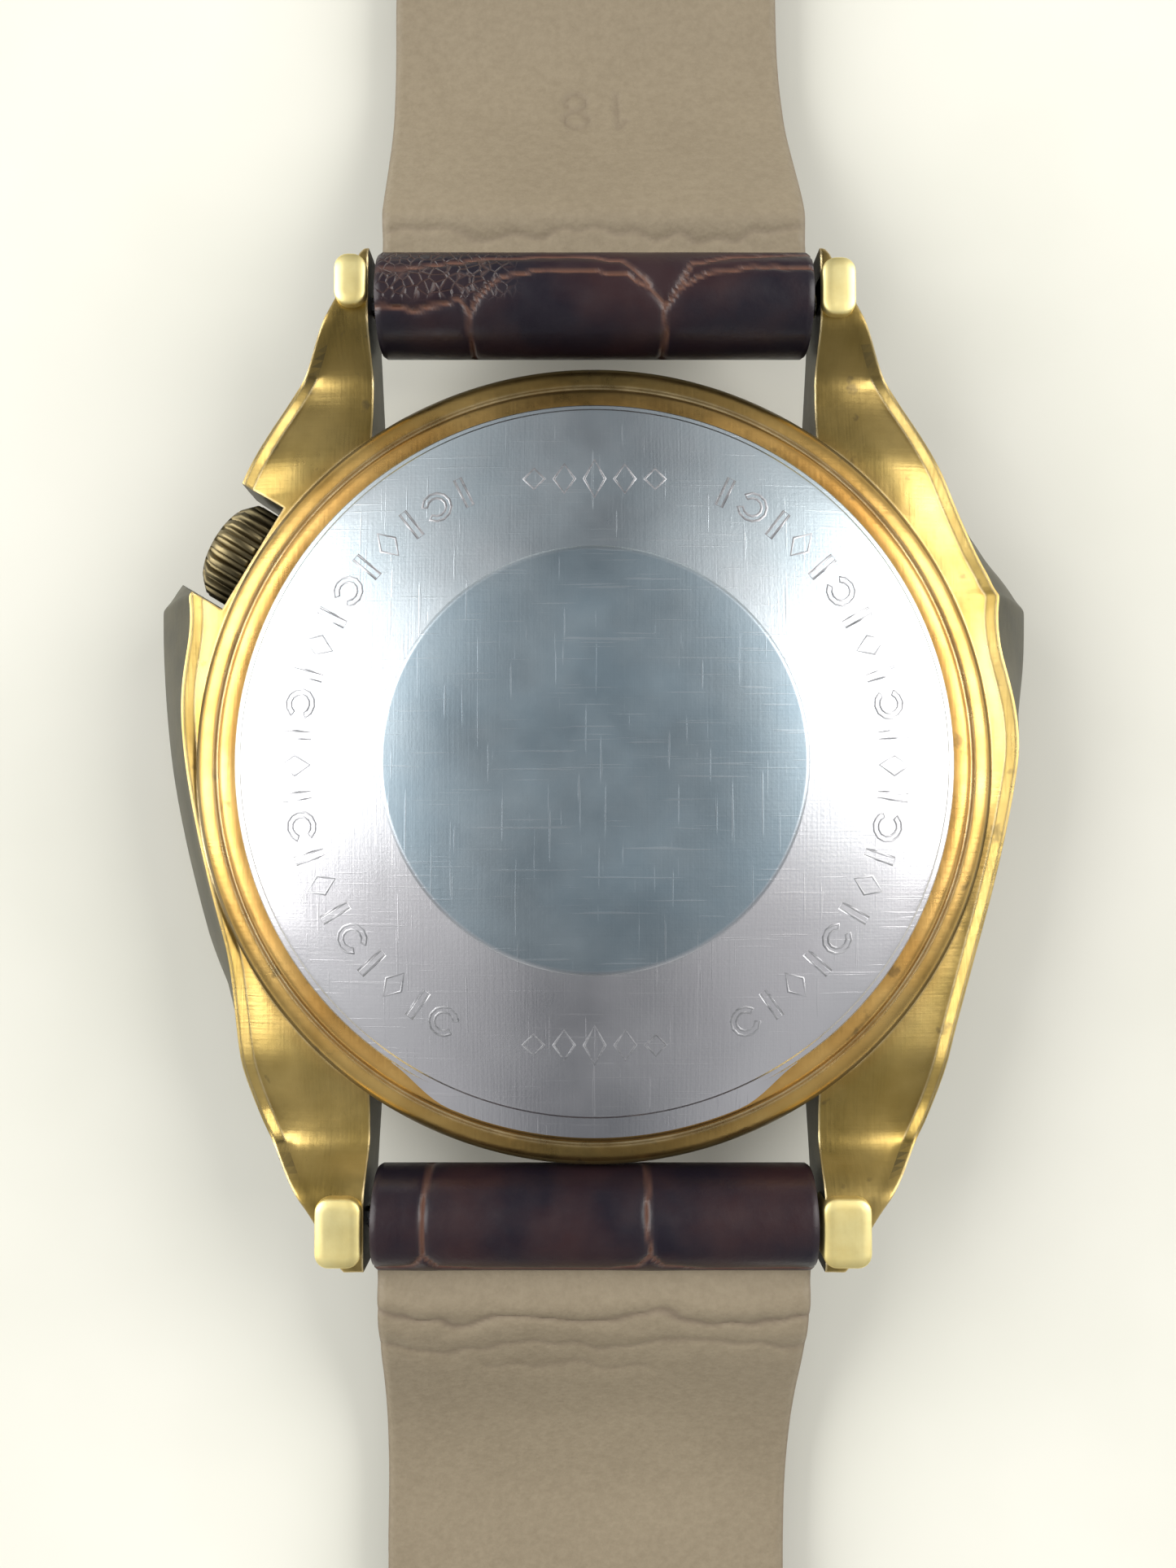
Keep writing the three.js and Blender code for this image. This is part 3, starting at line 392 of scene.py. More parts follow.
def add_world():
    """A soft room: dark overhead where a person leans in, brighter towards the left and right."""
    room = Nodes("room", bpy.data.worlds, "Background")
    bpy.context.scene.world = room.material
    direction = room.add("ShaderNodeTexCoord").outputs["Generated"]
    split = room.add("ShaderNodeSeparateXYZ", Vector=direction)
    sideways = room.math("ABSOLUTE", split.outputs["X"])
    sky = room.ramp(sideways, (0.05, (0.09, 0.105, 0.125)), (0.32, 1.0), (0.75, (0.55, 0.56, 0.58)))
    room.set(Color=sky, Strength=0.62)


def set_colours():
    """Colours go to the picture as they are, without a film curve."""
    bpy.context.scene.view_settings.view_transform = "Standard"


def add_table():
    """Plain pale table that the watch lies on."""
    half = 600
    corners = [(-half, -half, 0), (half, -half, 0), (half, half, 0), (-half, half, 0)]
    floor = make_object("table", corners, [(0, 1, 2, 3)])
    cloth = Nodes("pale_table")
    tone = cloth.ramp(cloth.noise(60, 3), (0.3, (0.74, 0.735, 0.65)), (0.7, (0.80, 0.79, 0.71)))
    cloth.set(Base_Color=tone, Roughness=0.9)
    paint(floor, cloth.material)


# ---------------- materials


def gold_case():
    """Worn gold plate: olive on the slopes, orange by the ring, dull bare metal on the flanks, with painted
    shade and highlights.
    """
    m = Nodes("gold_case")
    place = m.add("ShaderNodeSeparateXYZ", Vector=m.place())
    near_ring = m.ramp(m.times(m.radius(place), PER_20_MM), (0.72, 1.0), (0.83, 0.0))
    patches = m.ramp(m.noise(260, 5), (0.35, 0.0), (0.65, 1.0))
    olive = m.mix(patches, (0.38, 0.265, 0.075), (0.53, 0.385, 0.135))
    orange = m.mix(patches, (0.58, 0.31, 0.08), (0.74, 0.46, 0.15))
    plate = m.mix(near_ring, olive, orange)
    # painted reflection: near the ring, the plate darkens towards the 12 and 6 o'clock ends as if it
    # mirrored the dark room
    far = m.math("ABSOLUTE", place.outputs["Y"])
    ends = m.ramp(m.times(far, PER_20_MM), (0.66, 0.0), (0.78, 1.0))
    plate = m.mix(m.times(m.times(ends, near_ring), 0.75), plate, (0.11, 0.10, 0.05))
    # painted shade: the plate is darkened towards the top, under the dark room overhead
    painted_lighting_toward_top = m.ramp(m.times(place.outputs["Y"], PER_20_MM), (0.5, 0.0), (0.78, 1.0))
    plate = m.mix(m.times(painted_lighting_toward_top, 0.45), plate, (0.13, 0.095, 0.035))
    soft, edge = m.edges(0.16 * MM)
    tilt = m.add("ShaderNodeSeparateXYZ", Vector=m.add("ShaderNodeNewGeometry").outputs["True Normal"])
    flat_enough = m.ramp(tilt.outputs["Z"], (0.62, 0.0), (0.72, 1.0))
    raised = m.ramp(m.times(place.outputs["Z"], PER_10_MM), (0.62, 0.0), (0.68, 1.0))
    keep = m.math("MAXIMUM", flat_enough, m.times(near_ring, raised))
    # painted shade: steep faces get this near-black colour in place of the plate; they also turn duller and
    # less metallic
    steep_face_shade = m.ramp(m.noise(420, 6, rough=0.65), (0.3, (0.035, 0.032, 0.017)), (0.7, (0.085, 0.075, 0.04)))
    colour = m.mix(keep, steep_face_shade, plate)
    chips = m.ramp(m.noise(900, 3), (0.66, 0.0), (0.72, 1.0))
    colour = m.mix(m.times(chips, 0.5), colour, (0.10, 0.08, 0.05))
    # pale gold along the edges: partly rubbed-through wear, partly a painted edge highlight
    worn = m.times(edge, m.ramp(m.noise(500, 3), (0.3, 0.35), (0.55, 1.0)))
    colour = m.mix(m.times(worn, keep), colour, (0.90, 0.74, 0.42))
    rough = m.ramp(m.noise(350, 6, rough=0.7), (0.3, 0.22), (0.7, 0.42))
    rough = m.math("MAXIMUM", rough, m.math("MULTIPLY_ADD", keep, -0.42, 0.42))
    scratches = m.lines((300, 9000, 900), 0.9)
    more = m.lines((8000, 350, 900), 0.4)
    normal = m.bump(m.math("ADD", scratches, more), 0.006 * MM, 0.6, soft)
    normal = m.bump(m.noise(700, 5), 0.04 * MM, 0.5, normal)
    m.set(Base_Color=colour, Metallic=m.math("MULTIPLY_ADD", keep, 0.35, 0.65),
          Roughness=rough, Normal=normal)
    return m.material


def gold_plain(name, colour, dark, base_rough=0.25):
    """Polished gold-coloured metal with light wear and a painted highlight along its edges."""
    m = Nodes(name)
    soft, edge = m.edges(0.12 * MM)
    worn = m.mix(m.ramp(m.noise(500, 5, rough=0.6), (0.35, 0.0), (0.7, 1.0)), colour, dark)
    # painted highlight: a brighter copy of the colour, laid along the edges
    bright = tuple(min(1.0, c * 1.35) for c in colour)
    hair = m.lines((6000, 300, 800), 0.6)
    m.set(Base_Color=m.mix(m.times(edge, 0.8), worn, bright), Metallic=1.0,
          Roughness=m.ramp(m.noise(400, 4), (0.3, base_rough), (0.7, base_rough + 0.15)),
          Normal=m.bump(hair, 0.005 * MM, 0.5, soft))
    return m.material


def steel_back():
    """Satin case back: a scratched matt centre and a brighter brushed cone, with painted reflections in
    their colours.
    """
    m = Nodes("steel_back")
    place = m.add("ShaderNodeSeparateXYZ", Vector=m.place())
    centre = m.ramp(m.times(m.radius(place), PER_10_MM), (0.785, 1.0), (0.81, 0.0))
    cloudy = m.ramp(m.noise(180, 5, rough=0.6), (0.35, 0.0), (0.65, 1.0))
    # painted reflection: the matt centre is coloured dark bluish grey, as if it mirrored the dark room
    disc_painted_reflection = m.mix(cloudy, (0.25, 0.32, 0.37), (0.31, 0.37, 0.41))
    # painted reflection: the cone's colour turns bluer towards the top
    painted_lighting_toward_top = m.ramp(m.math("MULTIPLY_ADD", place.outputs["Y"], 40, 0.5), (0.3, 0.0), (0.8, 1.0))
    cone = m.mix(painted_lighting_toward_top, (0.65, 0.64, 0.67), (0.58, 0.67, 0.72))
    cone = m.mix(m.times(cloudy, 0.4), cone, (0.72, 0.73, 0.75))
    fine = m.lines((350, 14000, 1000), 0.25)
    cross = m.lines((14000, 350, 1000), 0.1)
    grain = m.noise(9000, 2)
    hair = m.math("ADD", m.math("ADD", fine, cross), grain)
    ways = (((220, 9000, 50), 0.2), ((8000, 260, 50), 0.12), ((260, 8600, 50), 0.95))
    marks = [m.ramp(m.noise(1.0, 1, m.stretch(scale, turn)), (0.70, 0.0), (0.73, 1.0))
             for scale, turn in ways]
    scratch = m.math("MAXIMUM", m.math("MAXIMUM", marks[0], marks[1]), marks[2])
    colour = m.mix(m.times(scratch, 0.1), m.mix(centre, cone, disc_painted_reflection), (0.85, 0.85, 0.86))
    rough = m.mix(centre, m.ramp(m.noise(300, 4), (0.3, 0.27), (0.7, 0.34)),
                  m.ramp(m.noise(300, 4), (0.3, 0.36), (0.7, 0.46)))
    m.set(Base_Color=colour, Metallic=1.0, Roughness=rough,
          Normal=m.bump(hair, 0.004 * MM, 0.55, m.bump(scratch, 0.006 * MM, 0.3)))
    return m.material


def plain_metal(name, colour, rough):
    """Machined metal with fine straight tool marks."""
    m = Nodes(name)
    lines = m.lines((500, 12000, 700), 0.3)
    darker = tuple(c * 0.7 for c in colour)
    m.set(Base_Color=m.mix(m.ramp(m.noise(700, 5), (0.35, 0.0), (0.65, 1.0)), colour, darker), Metallic=1.0,
          Roughness=m.ramp(lines, (0.3, rough), (0.7, rough + 0.15)), Normal=m.bump(lines, 0.004 * MM, 0.5))
    return m.material


def crocodile():
    """Glossy dark plum leather: pebbled scales, with pale worn creases where the mesh dips."""
    m = Nodes("crocodile")
    crease = m.field("crease")
    swirl = m.add("ShaderNodeTexNoise", Vector=m.place(), Scale=300).outputs["Color"]
    warped = m.mix(0.0012, m.place(), swirl, "ADD")
    seam = m.ramp(m.cells(330.0, warped), (0.0, 1.0), (0.09, 0.0))
    seam = m.times(seam, m.field("scales"))
    pores = m.ramp(m.cells(2600.0), (0.0, 1.0), (0.12, 0.0))
    pebbled = m.times(pores, m.field("pebble"))
    patches = m.ramp(m.noise(230, 4), (0.4, 0.0), (0.62, 1.0))
    base = m.mix(patches, (0.012, 0.009, 0.015), (0.030, 0.014, 0.016))
    line = m.math("MAXIMUM", crease, m.math("MAXIMUM", seam, pebbled))
    pale = m.math("MAXIMUM", m.times(crease, 0.95), m.times(pebbled, 0.25))
    base = m.mix(pale, base, (0.19, 0.095, 0.065))
    base = m.mix(m.times(seam, 0.5), base, (0.02, 0.011, 0.012))
    rough = m.ramp(m.noise(900, 5), (0.3, 0.28), (0.7, 0.46))
    normal = m.bump(m.math("SUBTRACT", 1.0, line), 0.06 * MM, 0.8)
    normal = m.bump(m.noise(4200, 3), 0.02 * MM, 0.5, normal)
    m.set(Base_Color=base, Roughness=rough, Normal=normal, Specular_IOR_Level=0.35)
    return m.material


def tan_lining():
    """Matt tan calf with a fine pore grain, darker at its stamp and edges, and with painted shade in its
    wrinkles.
    """
    m = Nodes("tan_lining")
    grain = m.noise(7000, 3, rough=0.6)
    pores = m.add("ShaderNodeTexVoronoi", Vector=m.place(), Scale=5200.0).outputs["Distance"]
    tone = m.ramp(m.noise(120, 5), (0.3, (0.235, 0.19, 0.125)), (0.7, (0.275, 0.225, 0.15)))
    specks = m.ramp(m.noise(2600, 4, rough=0.7), (0.35, (0.19, 0.15, 0.095)), (0.62, (0.28, 0.23, 0.155)))
    tone = m.mix(0.35, tone, specks)
    # painted shade in the wrinkles; the same value also darkens the stamp and the edges
    tone = m.mix(m.times(m.field("crease"), 0.45), tone, (0.14, 0.10, 0.075))
    height = m.math("ADD", m.times(grain, 0.6), pores)
    m.set(Base_Color=tone, Roughness=m.ramp(grain, (0.3, 0.55), (0.7, 0.75)),
          Normal=m.bump(height, 0.03 * MM, 0.45))
    return m.material


def soft_plastic(name, colour, rough):
    """Moulded rubber or plastic, faintly mottled."""
    m = Nodes(name)
    darker = tuple(c * 0.75 for c in colour)
    m.set(Base_Color=m.mix(m.ramp(m.noise(600, 4), (0.3, 0.0), (0.7, 1.0)), colour, darker),
          Roughness=rough, Normal=m.bump(m.noise(4000, 3), 0.01 * MM, 0.4))
    return m.material


def dial_metal():
    """Champagne dial with a sunray brush about the centre."""
    m = Nodes("dial_metal")
    rays = m.add("ShaderNodeTexGradient", {"gradient_type": "RADIAL"}, Vector=m.place()).outputs["Fac"]
    brush = m.add("ShaderNodeTexNoise", {"noise_dimensions": "1D"},
                  W=rays, Scale=700.0, Detail=4.0).outputs["Fac"]
    m.set(Base_Color=m.ramp(brush, (0.3, (0.50, 0.42, 0.26)), (0.7, (0.72, 0.63, 0.43))), Metallic=0.9,
          Roughness=m.ramp(brush, (0.3, 0.26), (0.7, 0.4)), Normal=m.bump(brush, 0.01 * MM, 0.5))
    return m.material


def crystal_glass():
    """Clear crystal with wipe marks and faint scratches."""
    m = Nodes("crystal_glass")
    smears = m.ramp(m.noise(500, 5, rough=0.7), (0.55, 0.02), (0.8, 0.12))
    scratches = m.lines((200, 9000, 500), 0.5)
    m.set(Base_Color=(0.97, 0.985, 0.985, 1), Roughness=smears, IOR=1.5, Transmission_Weight=1.0,
          Normal=m.bump(scratches, 0.002 * MM, 0.3))
    return m.material


# ---------------- case


def case_levels(half, y, side):
    """Half section of the case across its width, from the dial side's edge to the back slope's inside.

    side is 1 on the right and -1 on the left.
    """
    past = y - BAR_Y["12"] if y > 0 else BAR_Y["6"] - y  # beyond the spring bar
    dial = DIAL_SIDE_Z + 2.7 * smooth(past, -9, 2.6)  # the dial side curves up along the lug
    scoop = 0.6 * smooth(past, -6.8, -3.8)
    pad = (PAD_Z - BACK_EDGE_Z + 0.2) * smooth(past, -3.3, -0.9)  # the lug's end rises to its pad
    round_off = 0.9 * smooth(past, 1.5, 2.8)
    back = BACK_EDGE_Z - scoop + pad - round_off
    thin = max(smooth(y, 8.0, 12.0), smooth(-y, 7.0, 12.5))  # 0 at the girdle, 1 on the lugs
    broad = 1.8 + 0.6 * math.exp(-((y - 6) / 2.5) ** 2)
    flank = lerp(broad, 0.45, thin)  # how far the flank leans in towards the back
    half -= (0.6 - 0.35 * math.exp(-((abs(y) - 14.3) / 2.4) ** 2)) * thin
    if side > 0:  # the right flank stands steeper below the girdle's corner
        steep = (1 - thin) * smooth(-y, -5.0, 0.0)
        flank -= 0.8 * steep
        half -= 0.2 * steep
    inner = back + 0.3 * smooth(-past, 1, 4)
    dip = 0.28 * smooth(-past, 1.2, 4)
    return [
        (half - 1.1, dial + 0.4 * round_off),
        (half - 0.3, dial + 0.3 + 0.2 * round_off),
        (half, dial + 0.62),
        (half - 0.1 * flank, dial + 1.1),
        (half - 0.62 * flank, lerp(dial, back, 0.72)),
        (half - flank, back),
        (half - flank - 0.12, back + 0.03),
        (half - flank - 0.5, lerp(back, inner, 0.4) - dip),
        (half - flank - 0.9, inner - dip),
        (half - flank - 2.4, inner - 0.5 * dip),
    ]


def lug_pad(x0, x1, y0, y1):
    """Polished flat end of a lug on the wrist side, with rounded corners and a soft edge."""
    levels = ((0.0, 6.6), (0.0, PAD_Z - 0.12), (-0.03, PAD_Z - 0.04), (-0.08, PAD_Z), (-0.4, PAD_Z + 0.02))
    rings = []
    for grow, z in levels:
        half_x, half_y = (x1 - x0) / 2 + grow, (y1 - y0) / 2 + grow
        corner = max(0.05, 0.55 + grow)
        ring = rounded_ring(half_x, -half_y, half_y, corner, 7)
        rings.append([(x + (x0 + x1) / 2, y + (y0 + y1) / 2, z) for x, y in ring])
    return swept("lug_pad", rings, sharp=50)


def build_pads():
    spots = (
        (-10.35, -9.07, 18.2, 20.25), (9.05, 10.4, 17.8, 20.1),
        (-10.9, -9.1, -19.7, -17.0), (8.9, 10.8, -19.7, -17.0),
    )
    polish = gold_plain("pad_gold", (0.98, 0.86, 0.42), (0.86, 0.70, 0.28), 0.42)
    for x0, x1, y0, y1 in spots:
        dress(lug_pad(x0, x1, y0, y1), polish, "case")


def build_case():
    """Case middle: a swept body, cut for the strap ends, the crown and the bars, with the turned ring."""
    sections = []
    for point in catmull([(x, y, 0) for x, y in GIRDLE], 16):
        right = case_levels(point.x, point.y, 1)
        left = case_levels(point.x, point.y, -1)
        ring = [(x, point.y, z) for x, z in right] + [(-x, point.y, z) for x, z in reversed(left)]
        sections.append(ring)
    case = swept("case_body", sections, sharp=30)
    gap_start = 10  # the gaps for the strap ends run from inside the ring outwards
    gaps = [box("gap", -GAP_HALF, GAP_HALF, start, end, -REACH, REACH)
            for start, end in ((gap_start, REACH), (-REACH, -gap_start))]
    core_r = 14.5
    core = turned("core", [(AXIS_R, -REACH), (core_r, -REACH), (core_r, REACH), (AXIS_R, REACH)], 192)
    boolean(case, "DIFFERENCE", [*gaps, core])
    ring = turned("ring", [
        (BORE_R, 2.8), (NECK_BORE_R, 2.8), (NECK_BORE_R, NECK_Z), (NECK_R, NECK_Z), (NECK_R, DIAL_SIDE_Z),
        (15.7, DIAL_SIDE_Z), (RING_R, 3.0), (RING_R, 7.0), (15.93, 7.2), (15.75, 7.42), (15.45, 7.6),
        (15.12, 7.62), (15.02, 7.54), (14.92, 7.62), (14.8, 8.0), (14.7, 8.12), (14.55, 8.18),
        (14.2, RING_Z), (NECK_BORE_R, RING_Z), (NECK_BORE_R, 7.9), (BORE_R, 7.9),
    ])
    boolean(case, "UNION", [ring])
    notch_low, tube_hole_r, bar_hole_r = 2.4, 0.93, 0.45
    notch = box("notch", NOTCH_FLOOR, REACH, -NOTCH_HALF, NOTCH_HALF, notch_low, REACH, CROWN_ANGLE)
    axis = Vector((math.cos(CROWN_ANGLE), math.sin(CROWN_ANGLE), 0))
    start = 11.5 * axis + Vector((0, 0, STEM_Z))
    hole = rod("hole", tube_hole_r, start, start + 20 * axis)
    bars = []
    for y in BAR_Y.values():
        for side in (-1, 1):  # blind holes in the lugs' inner faces
            bars.append(rod("bar_hole", bar_hole_r, (side * 8.9, y, BAR_Z), (side * 10.2, y, BAR_Z), 24))
    boolean(case, "DIFFERENCE", [notch, hole, *bars])
    shade(case, 32)
    dress(case, gold_case(), "case", "case_middle")


# ---------------- case back


def cone_z(radius):
    """Height of the case back's outer surface at a radius."""
    if radius < BACK_FLAT_R:
        return BACK_TOP
    step = 0.1  # the flat centre stands this much above the cone round it
    cone_start = BACK_FLAT_R + step
    cone_end = BACK_R - 0.2
    return lerp(BACK_TOP - step, BACK_RIM_Z, (radius - cone_start) / (cone_end - cone_start))


def build_case_back():
    """Snap-on back: a flat centre, a shallow cone, a flange, and a lip to open it by."""
    profile = [
        (AXIS_R, BACK_TOP), (4, BACK_TOP), (BACK_FLAT_R - 0.06, BACK_TOP),
        (BACK_FLAT_R + 0.02, BACK_TOP - 0.03), (BACK_FLAT_R + 0.1, BACK_TOP - 0.1),
        (10, cone_z(10)), (12, cone_z(12)), (BACK_R - 0.22, BACK_RIM_Z),
        (BACK_R - 0.1, 9.46), (BACK_R - 0.02, 9.36), (BACK_R, 9.2), (BACK_R, 8.75),
        (FLANGE_R - 0.06, 8.66), (FLANGE_R, 8.58), (FLANGE_R, 8.25), (13.45, 8.25),
        (13.45, 7.5), (13.05, 7.5), (13.05, 8.8), (BACK_FLAT_R, 9.8), (AXIS_R, 9.8),
    ]
    back = turned("case_back_shell", profile, sharp=25)
    lip_sections = []
    steps = 48
    for step in range(steps + 1):  # the lip is a thin crescent of steel on the 6 o'clock side
        angle = math.radians(lerp(-124, -56, step / steps))
        edge = FLANGE_R + 0.5 * smooth(min(step, steps - step), 0, 8) + 0.05
        corners = ((13.7, 8.3), (edge, 8.3), (edge, 8.5), (13.7, 8.75))
        lip_sections.append([(r * math.cos(angle), r * math.sin(angle), z) for r, z in corners])
    lip = swept("case_back_lip", lip_sections)
    metal = steel_back()
    dress(back, metal, "case", "case_back")
    dress(lip, metal, "case")


def engraved_line(loops, name):
    """Hair-thin bright lines that lie in the case back's surface, as cut with a graver."""
    half_line = 0.05
    points, faces = [], []
    for loop in loops:
        count = len(loop)
        rings = []
        for i, (x, y) in enumerate(loop):
            before, after = Vector(loop[i - 1]), Vector(loop[(i + 1) % count])
            along = (after - before).normalized()
            side = Vector((along.y, -along.x)) * half_line
            z = cone_z(math.hypot(x, y))
            section = ((1, -0.03), (1, 0.004), (0, 0.016), (-1, 0.004), (-1, -0.03))
            rings.append([(x + way * side.x, y + way * side.y, z + rise) for way, rise in section])
        loop_points, loop_faces = skin(rings, closed=True)
        offset = len(points)
        points += loop_points
        faces += [tuple(i + offset for i in face) for face in loop_faces]
    obj = make_object(name, points, faces, 60)
    dress(obj, plain_metal(name + "_bright", (0.62, 0.62, 0.64), 0.3), "case")


def on_back(radius, degrees, u, v):
    """A point on the case back: u runs round the circle, v outwards."""
    angle = math.radians(degrees)
    out = Vector((math.cos(angle), math.sin(angle)))
    around = Vector((-out.y, out.x))
    return tuple((radius + v) * out + u * around)


def hook(radius, degrees):
    """Outline of a round stroke with an opening, there and back."""
    inner_r, width, opening, steps = 0.36, 0.2, 30, 10
    outer, inner = [], []
    for i in range(steps + 1):
        a = math.radians(lerp(opening, 360 - opening, i / steps))
        for stroke, r in ((outer, inner_r + width), (inner, inner_r)):
            stroke.append(on_back(radius, degrees, r * math.cos(a), r * math.sin(a)))
    return outer + inner[::-1]


def lozenge(radius, degrees, across, tall, shift=0.0):
    """Outline of an upright diamond, shifted round the circle."""
    corners = ((0, -tall), (across, 0), (0, tall), (-across, 0))
    return [on_back(radius, degrees, u + shift, v) for u, v in corners]


def build_engraving():
    """A plain border: bars, lozenges and hooks in two arcs, and a row of lozenges at top and bottom."""
    arc_r, row_r, count = 11.35, 10.7, 22
    half_bar, half_tall = 0.13, 0.6
    bar = ((-half_bar, -half_tall), (half_bar, -half_tall), (half_bar, half_tall), (-half_bar, half_tall))
    loops = []
    for first, last in ((116, 240), (64, -60)):
        for i in range(count):
            degrees = lerp(first, last, i / (count - 1))
            if i % 2 == 0:
                loops.append([on_back(arc_r, degrees, u, v) for u, v in bar])
            elif i % 4 == 1:
                loops.append(hook(arc_r, degrees))
            else:
                loops.append(lozenge(arc_r, degrees, 0.38, half_tall))
    for degrees in (90, -90):
        for i in range(-2, 3):
            loops.append(lozenge(row_r, degrees, 0.4, 0.75 - 0.17 * abs(i), 1.15 * i))
    engraved_line(loops, "case_back_border")


# ---------------- crown


def build_crown():
    """Fluted cap with a hollow inner face, from levels of (distance along it, radius, depth of flute)."""
    length = CROWN_OUT - CROWN_IN
    steps = CROWN_FLUTES * 12
    levels = [(0, 1.5, 0), (0, 2.0, 0.5), (0.03, 2.1, 0.8), (0.12, CROWN_R, 1), (length * 0.5, CROWN_R, 1),
              (length - 0.42, CROWN_R, 1), (length - 0.04, 1.84, 0.45), (length, 1.76, 0), (length, 0.4, 0),
              (length, AXIS_R, 0)]
    hollow = [(1.0, AXIS_R, 0), (1.0, 1.5, 0)]
    rings = []
    for along, radius, depth in [*hollow, *levels]:
        ring = []
        for angle in angles(steps):
            groove = smooth(abs(math.sin(angle * CROWN_FLUTES / 2)), 0.62, 0.9)
            r = radius - 0.3 * depth * groove
            ring.append((CROWN_IN + along, r * math.cos(angle), STEM_Z + r * math.sin(angle)))
        rings.append(ring)
    points, faces = skin(rings)
    spin = Matrix.Rotation(CROWN_ANGLE, 3, "Z")
    crown = make_object("crown_cap", [tuple(spin @ Vector(p)) for p in points], faces, 50)
    bronze = gold_plain("crown_bronze", (0.21, 0.17, 0.09), (0.06, 0.052, 0.03), 0.34)
    dress(crown, bronze, "crown", "crown")


# ---------------- strap


def underside(distance, bar, lifted):
    """Height of the leather's lower face; the lifted half rises to its keepers and buckle."""
    fall = 1 - smooth(distance, bar, bar + STRAP_RUN)
    lift = KEEPER_LIFT * smooth(distance, LIFT_FROM, LIFT_TO) if lifted else 0
    return (BAR_Z - TUBE_R) * fall + lift


def leather_thickness(distance, bar):
    """The leather is padded beside its roll."""
    padding, run = 1.1, 10
    return LEATHER + padding * (1 - smooth(distance, bar + TUBE_R, bar + run))


def half_width(distance, bar, end):
    return lerp(LUG_HALF, TIP_HALF, max(0.0, (distance - bar) / (end - bar)))


def strap_half(distance, bar, lifted):
    """Half width of the strap, which narrows evenly; the long half ends in a rounded point."""
    if lifted:
        return half_width(distance, bar, SHORT_END)
    half = half_width(distance, bar, LONG_END)
    inside = LONG_END - distance
    if inside >= POINT:
        return half
    t = max(0.0, inside / POINT)
    blunt, narrowest = 0.62, 0.4
    return max(narrowest, half * (1 - (1 - t) ** 2.2) ** blunt)


def segment_distance(p, a, b):
    """How far a point lies from the straight line between two others."""
    a, b = Vector(a), Vector(b)
    along = b - a
    t = max(0.0, min(1.0, (p - a).dot(along) / along.length_squared))
    return (p - a - t * along).length


def line_depth(p, lines, width):
    """How deep a point lies in the nearest of some drawn creases, from 0 to 1."""
    nearest = min(segment_distance(p, line[i], line[i + 1]) for line in lines for i in range(len(line) - 1))
    return math.exp(-(nearest / width) ** 2)


# Creases of the two rolled ends, in (x, distance up the roll from its 6 o'clock side), mm.
CREASES = {
    "12": [
        [(-4.9, 0.0), (-5.0, 0.9), (-5.3, 1.5), (-6.2, 1.3), (-7.2, 1.15), (-8.7, 1.3)],
        [(-5.0, 0.9), (-4.6, 1.6), (-3.8, 2.3), (-2.4, 2.7), (-0.6, 2.75), (1.2, 2.5), (2.3, 1.9),
         (2.8, 1.2)],
        [(2.85, 0.0), (2.8, 1.2), (3.4, 2.0), (4.6, 2.6), (6.4, 2.9), (8.7, 2.8)],
        [(2.8, 1.2), (2.0, 2.3), (1.0, 3.2), (-1.0, 3.5), (-4.0, 3.4), (-6.0, 3.0), (-8.7, 2.7)],
        [(3.4, 2.0), (3.9, 3.1), (6.0, 3.5), (8.7, 3.6)],
    ],
    "6": [
        [(-6.6, 4.2), (-6.7, 2.6), (-6.65, 1.1), (-7.1, 0.5), (-8.7, 0.35)],
        [(-6.65, 1.1), (-6.1, 0.45), (-4.0, 0.3), (0.6, 0.3), (1.7, 0.5), (2.15, 1.1)],
        [(2.1, 4.2), (2.05, 2.5), (2.15, 1.1), (2.7, 0.5), (4.6, 0.3), (8.7, 0.35)],
    ],
}


def lengthwise(start, end, fine, fine_count, coarse):
    """Distances along the strap, closer together by the case."""
    stops = [start + fine * i for i in range(fine_count)]
    while stops[-1] < end - coarse:
        stops.append(stops[-1] + coarse)
    return [*stops, end]


def strap_path(bar, end, lifted):
    """Outline of the leather in (distance, z): round the roll, along its lower face and back on top."""
    path = []
    arc_steps = 64
    for i in range(arc_steps + 1):
        angle = math.radians(lerp(0, 270, i / arc_steps))
        path.append((bar + TUBE_R * math.cos(angle), BAR_Z + TUBE_R * math.sin(angle), "roll"))
    stops = lengthwise(bar + TUBE_R, end, 0.25, 60, 0.6)
    path += [(d, underside(d, bar, lifted), "under") for d in stops]
    path += [(d, underside(d, bar, lifted) + leather_thickness(d, bar), "over") for d in reversed(stops)]
    return path


def side_drift(distance, bar):
    """The strap leans a little to one side near the case, and is back in line by its keepers."""
    straight_from, straight_to = 40, 60
    lean = LEAN * smooth(distance, bar + 1.5, bar + 16)
    return lean * (1 - smooth(distance, straight_from, straight_to))


def strap_object(name, points, faces, fields):
    """Closed strap piece, facing outwards, with its values for each point."""
    mesh = bpy.data.meshes.new(name)
    mesh.from_pydata([[c * MM for c in p] for p in points], [], faces)
    piece = bpy.data.objects.new(name, mesh)
    bpy.context.scene.collection.objects.link(piece)
    for field, values in fields.items():
        attribute(piece, field, values)
    work = bmesh.new()
    work.from_mesh(mesh)
    bmesh.ops.recalc_face_normals(work, faces=work.faces)
    if work.calc_volume(signed=True) < 0:
        bmesh.ops.reverse_faces(work, faces=work.faces)
    work.to_mesh(mesh)
    work.free()
    return piece


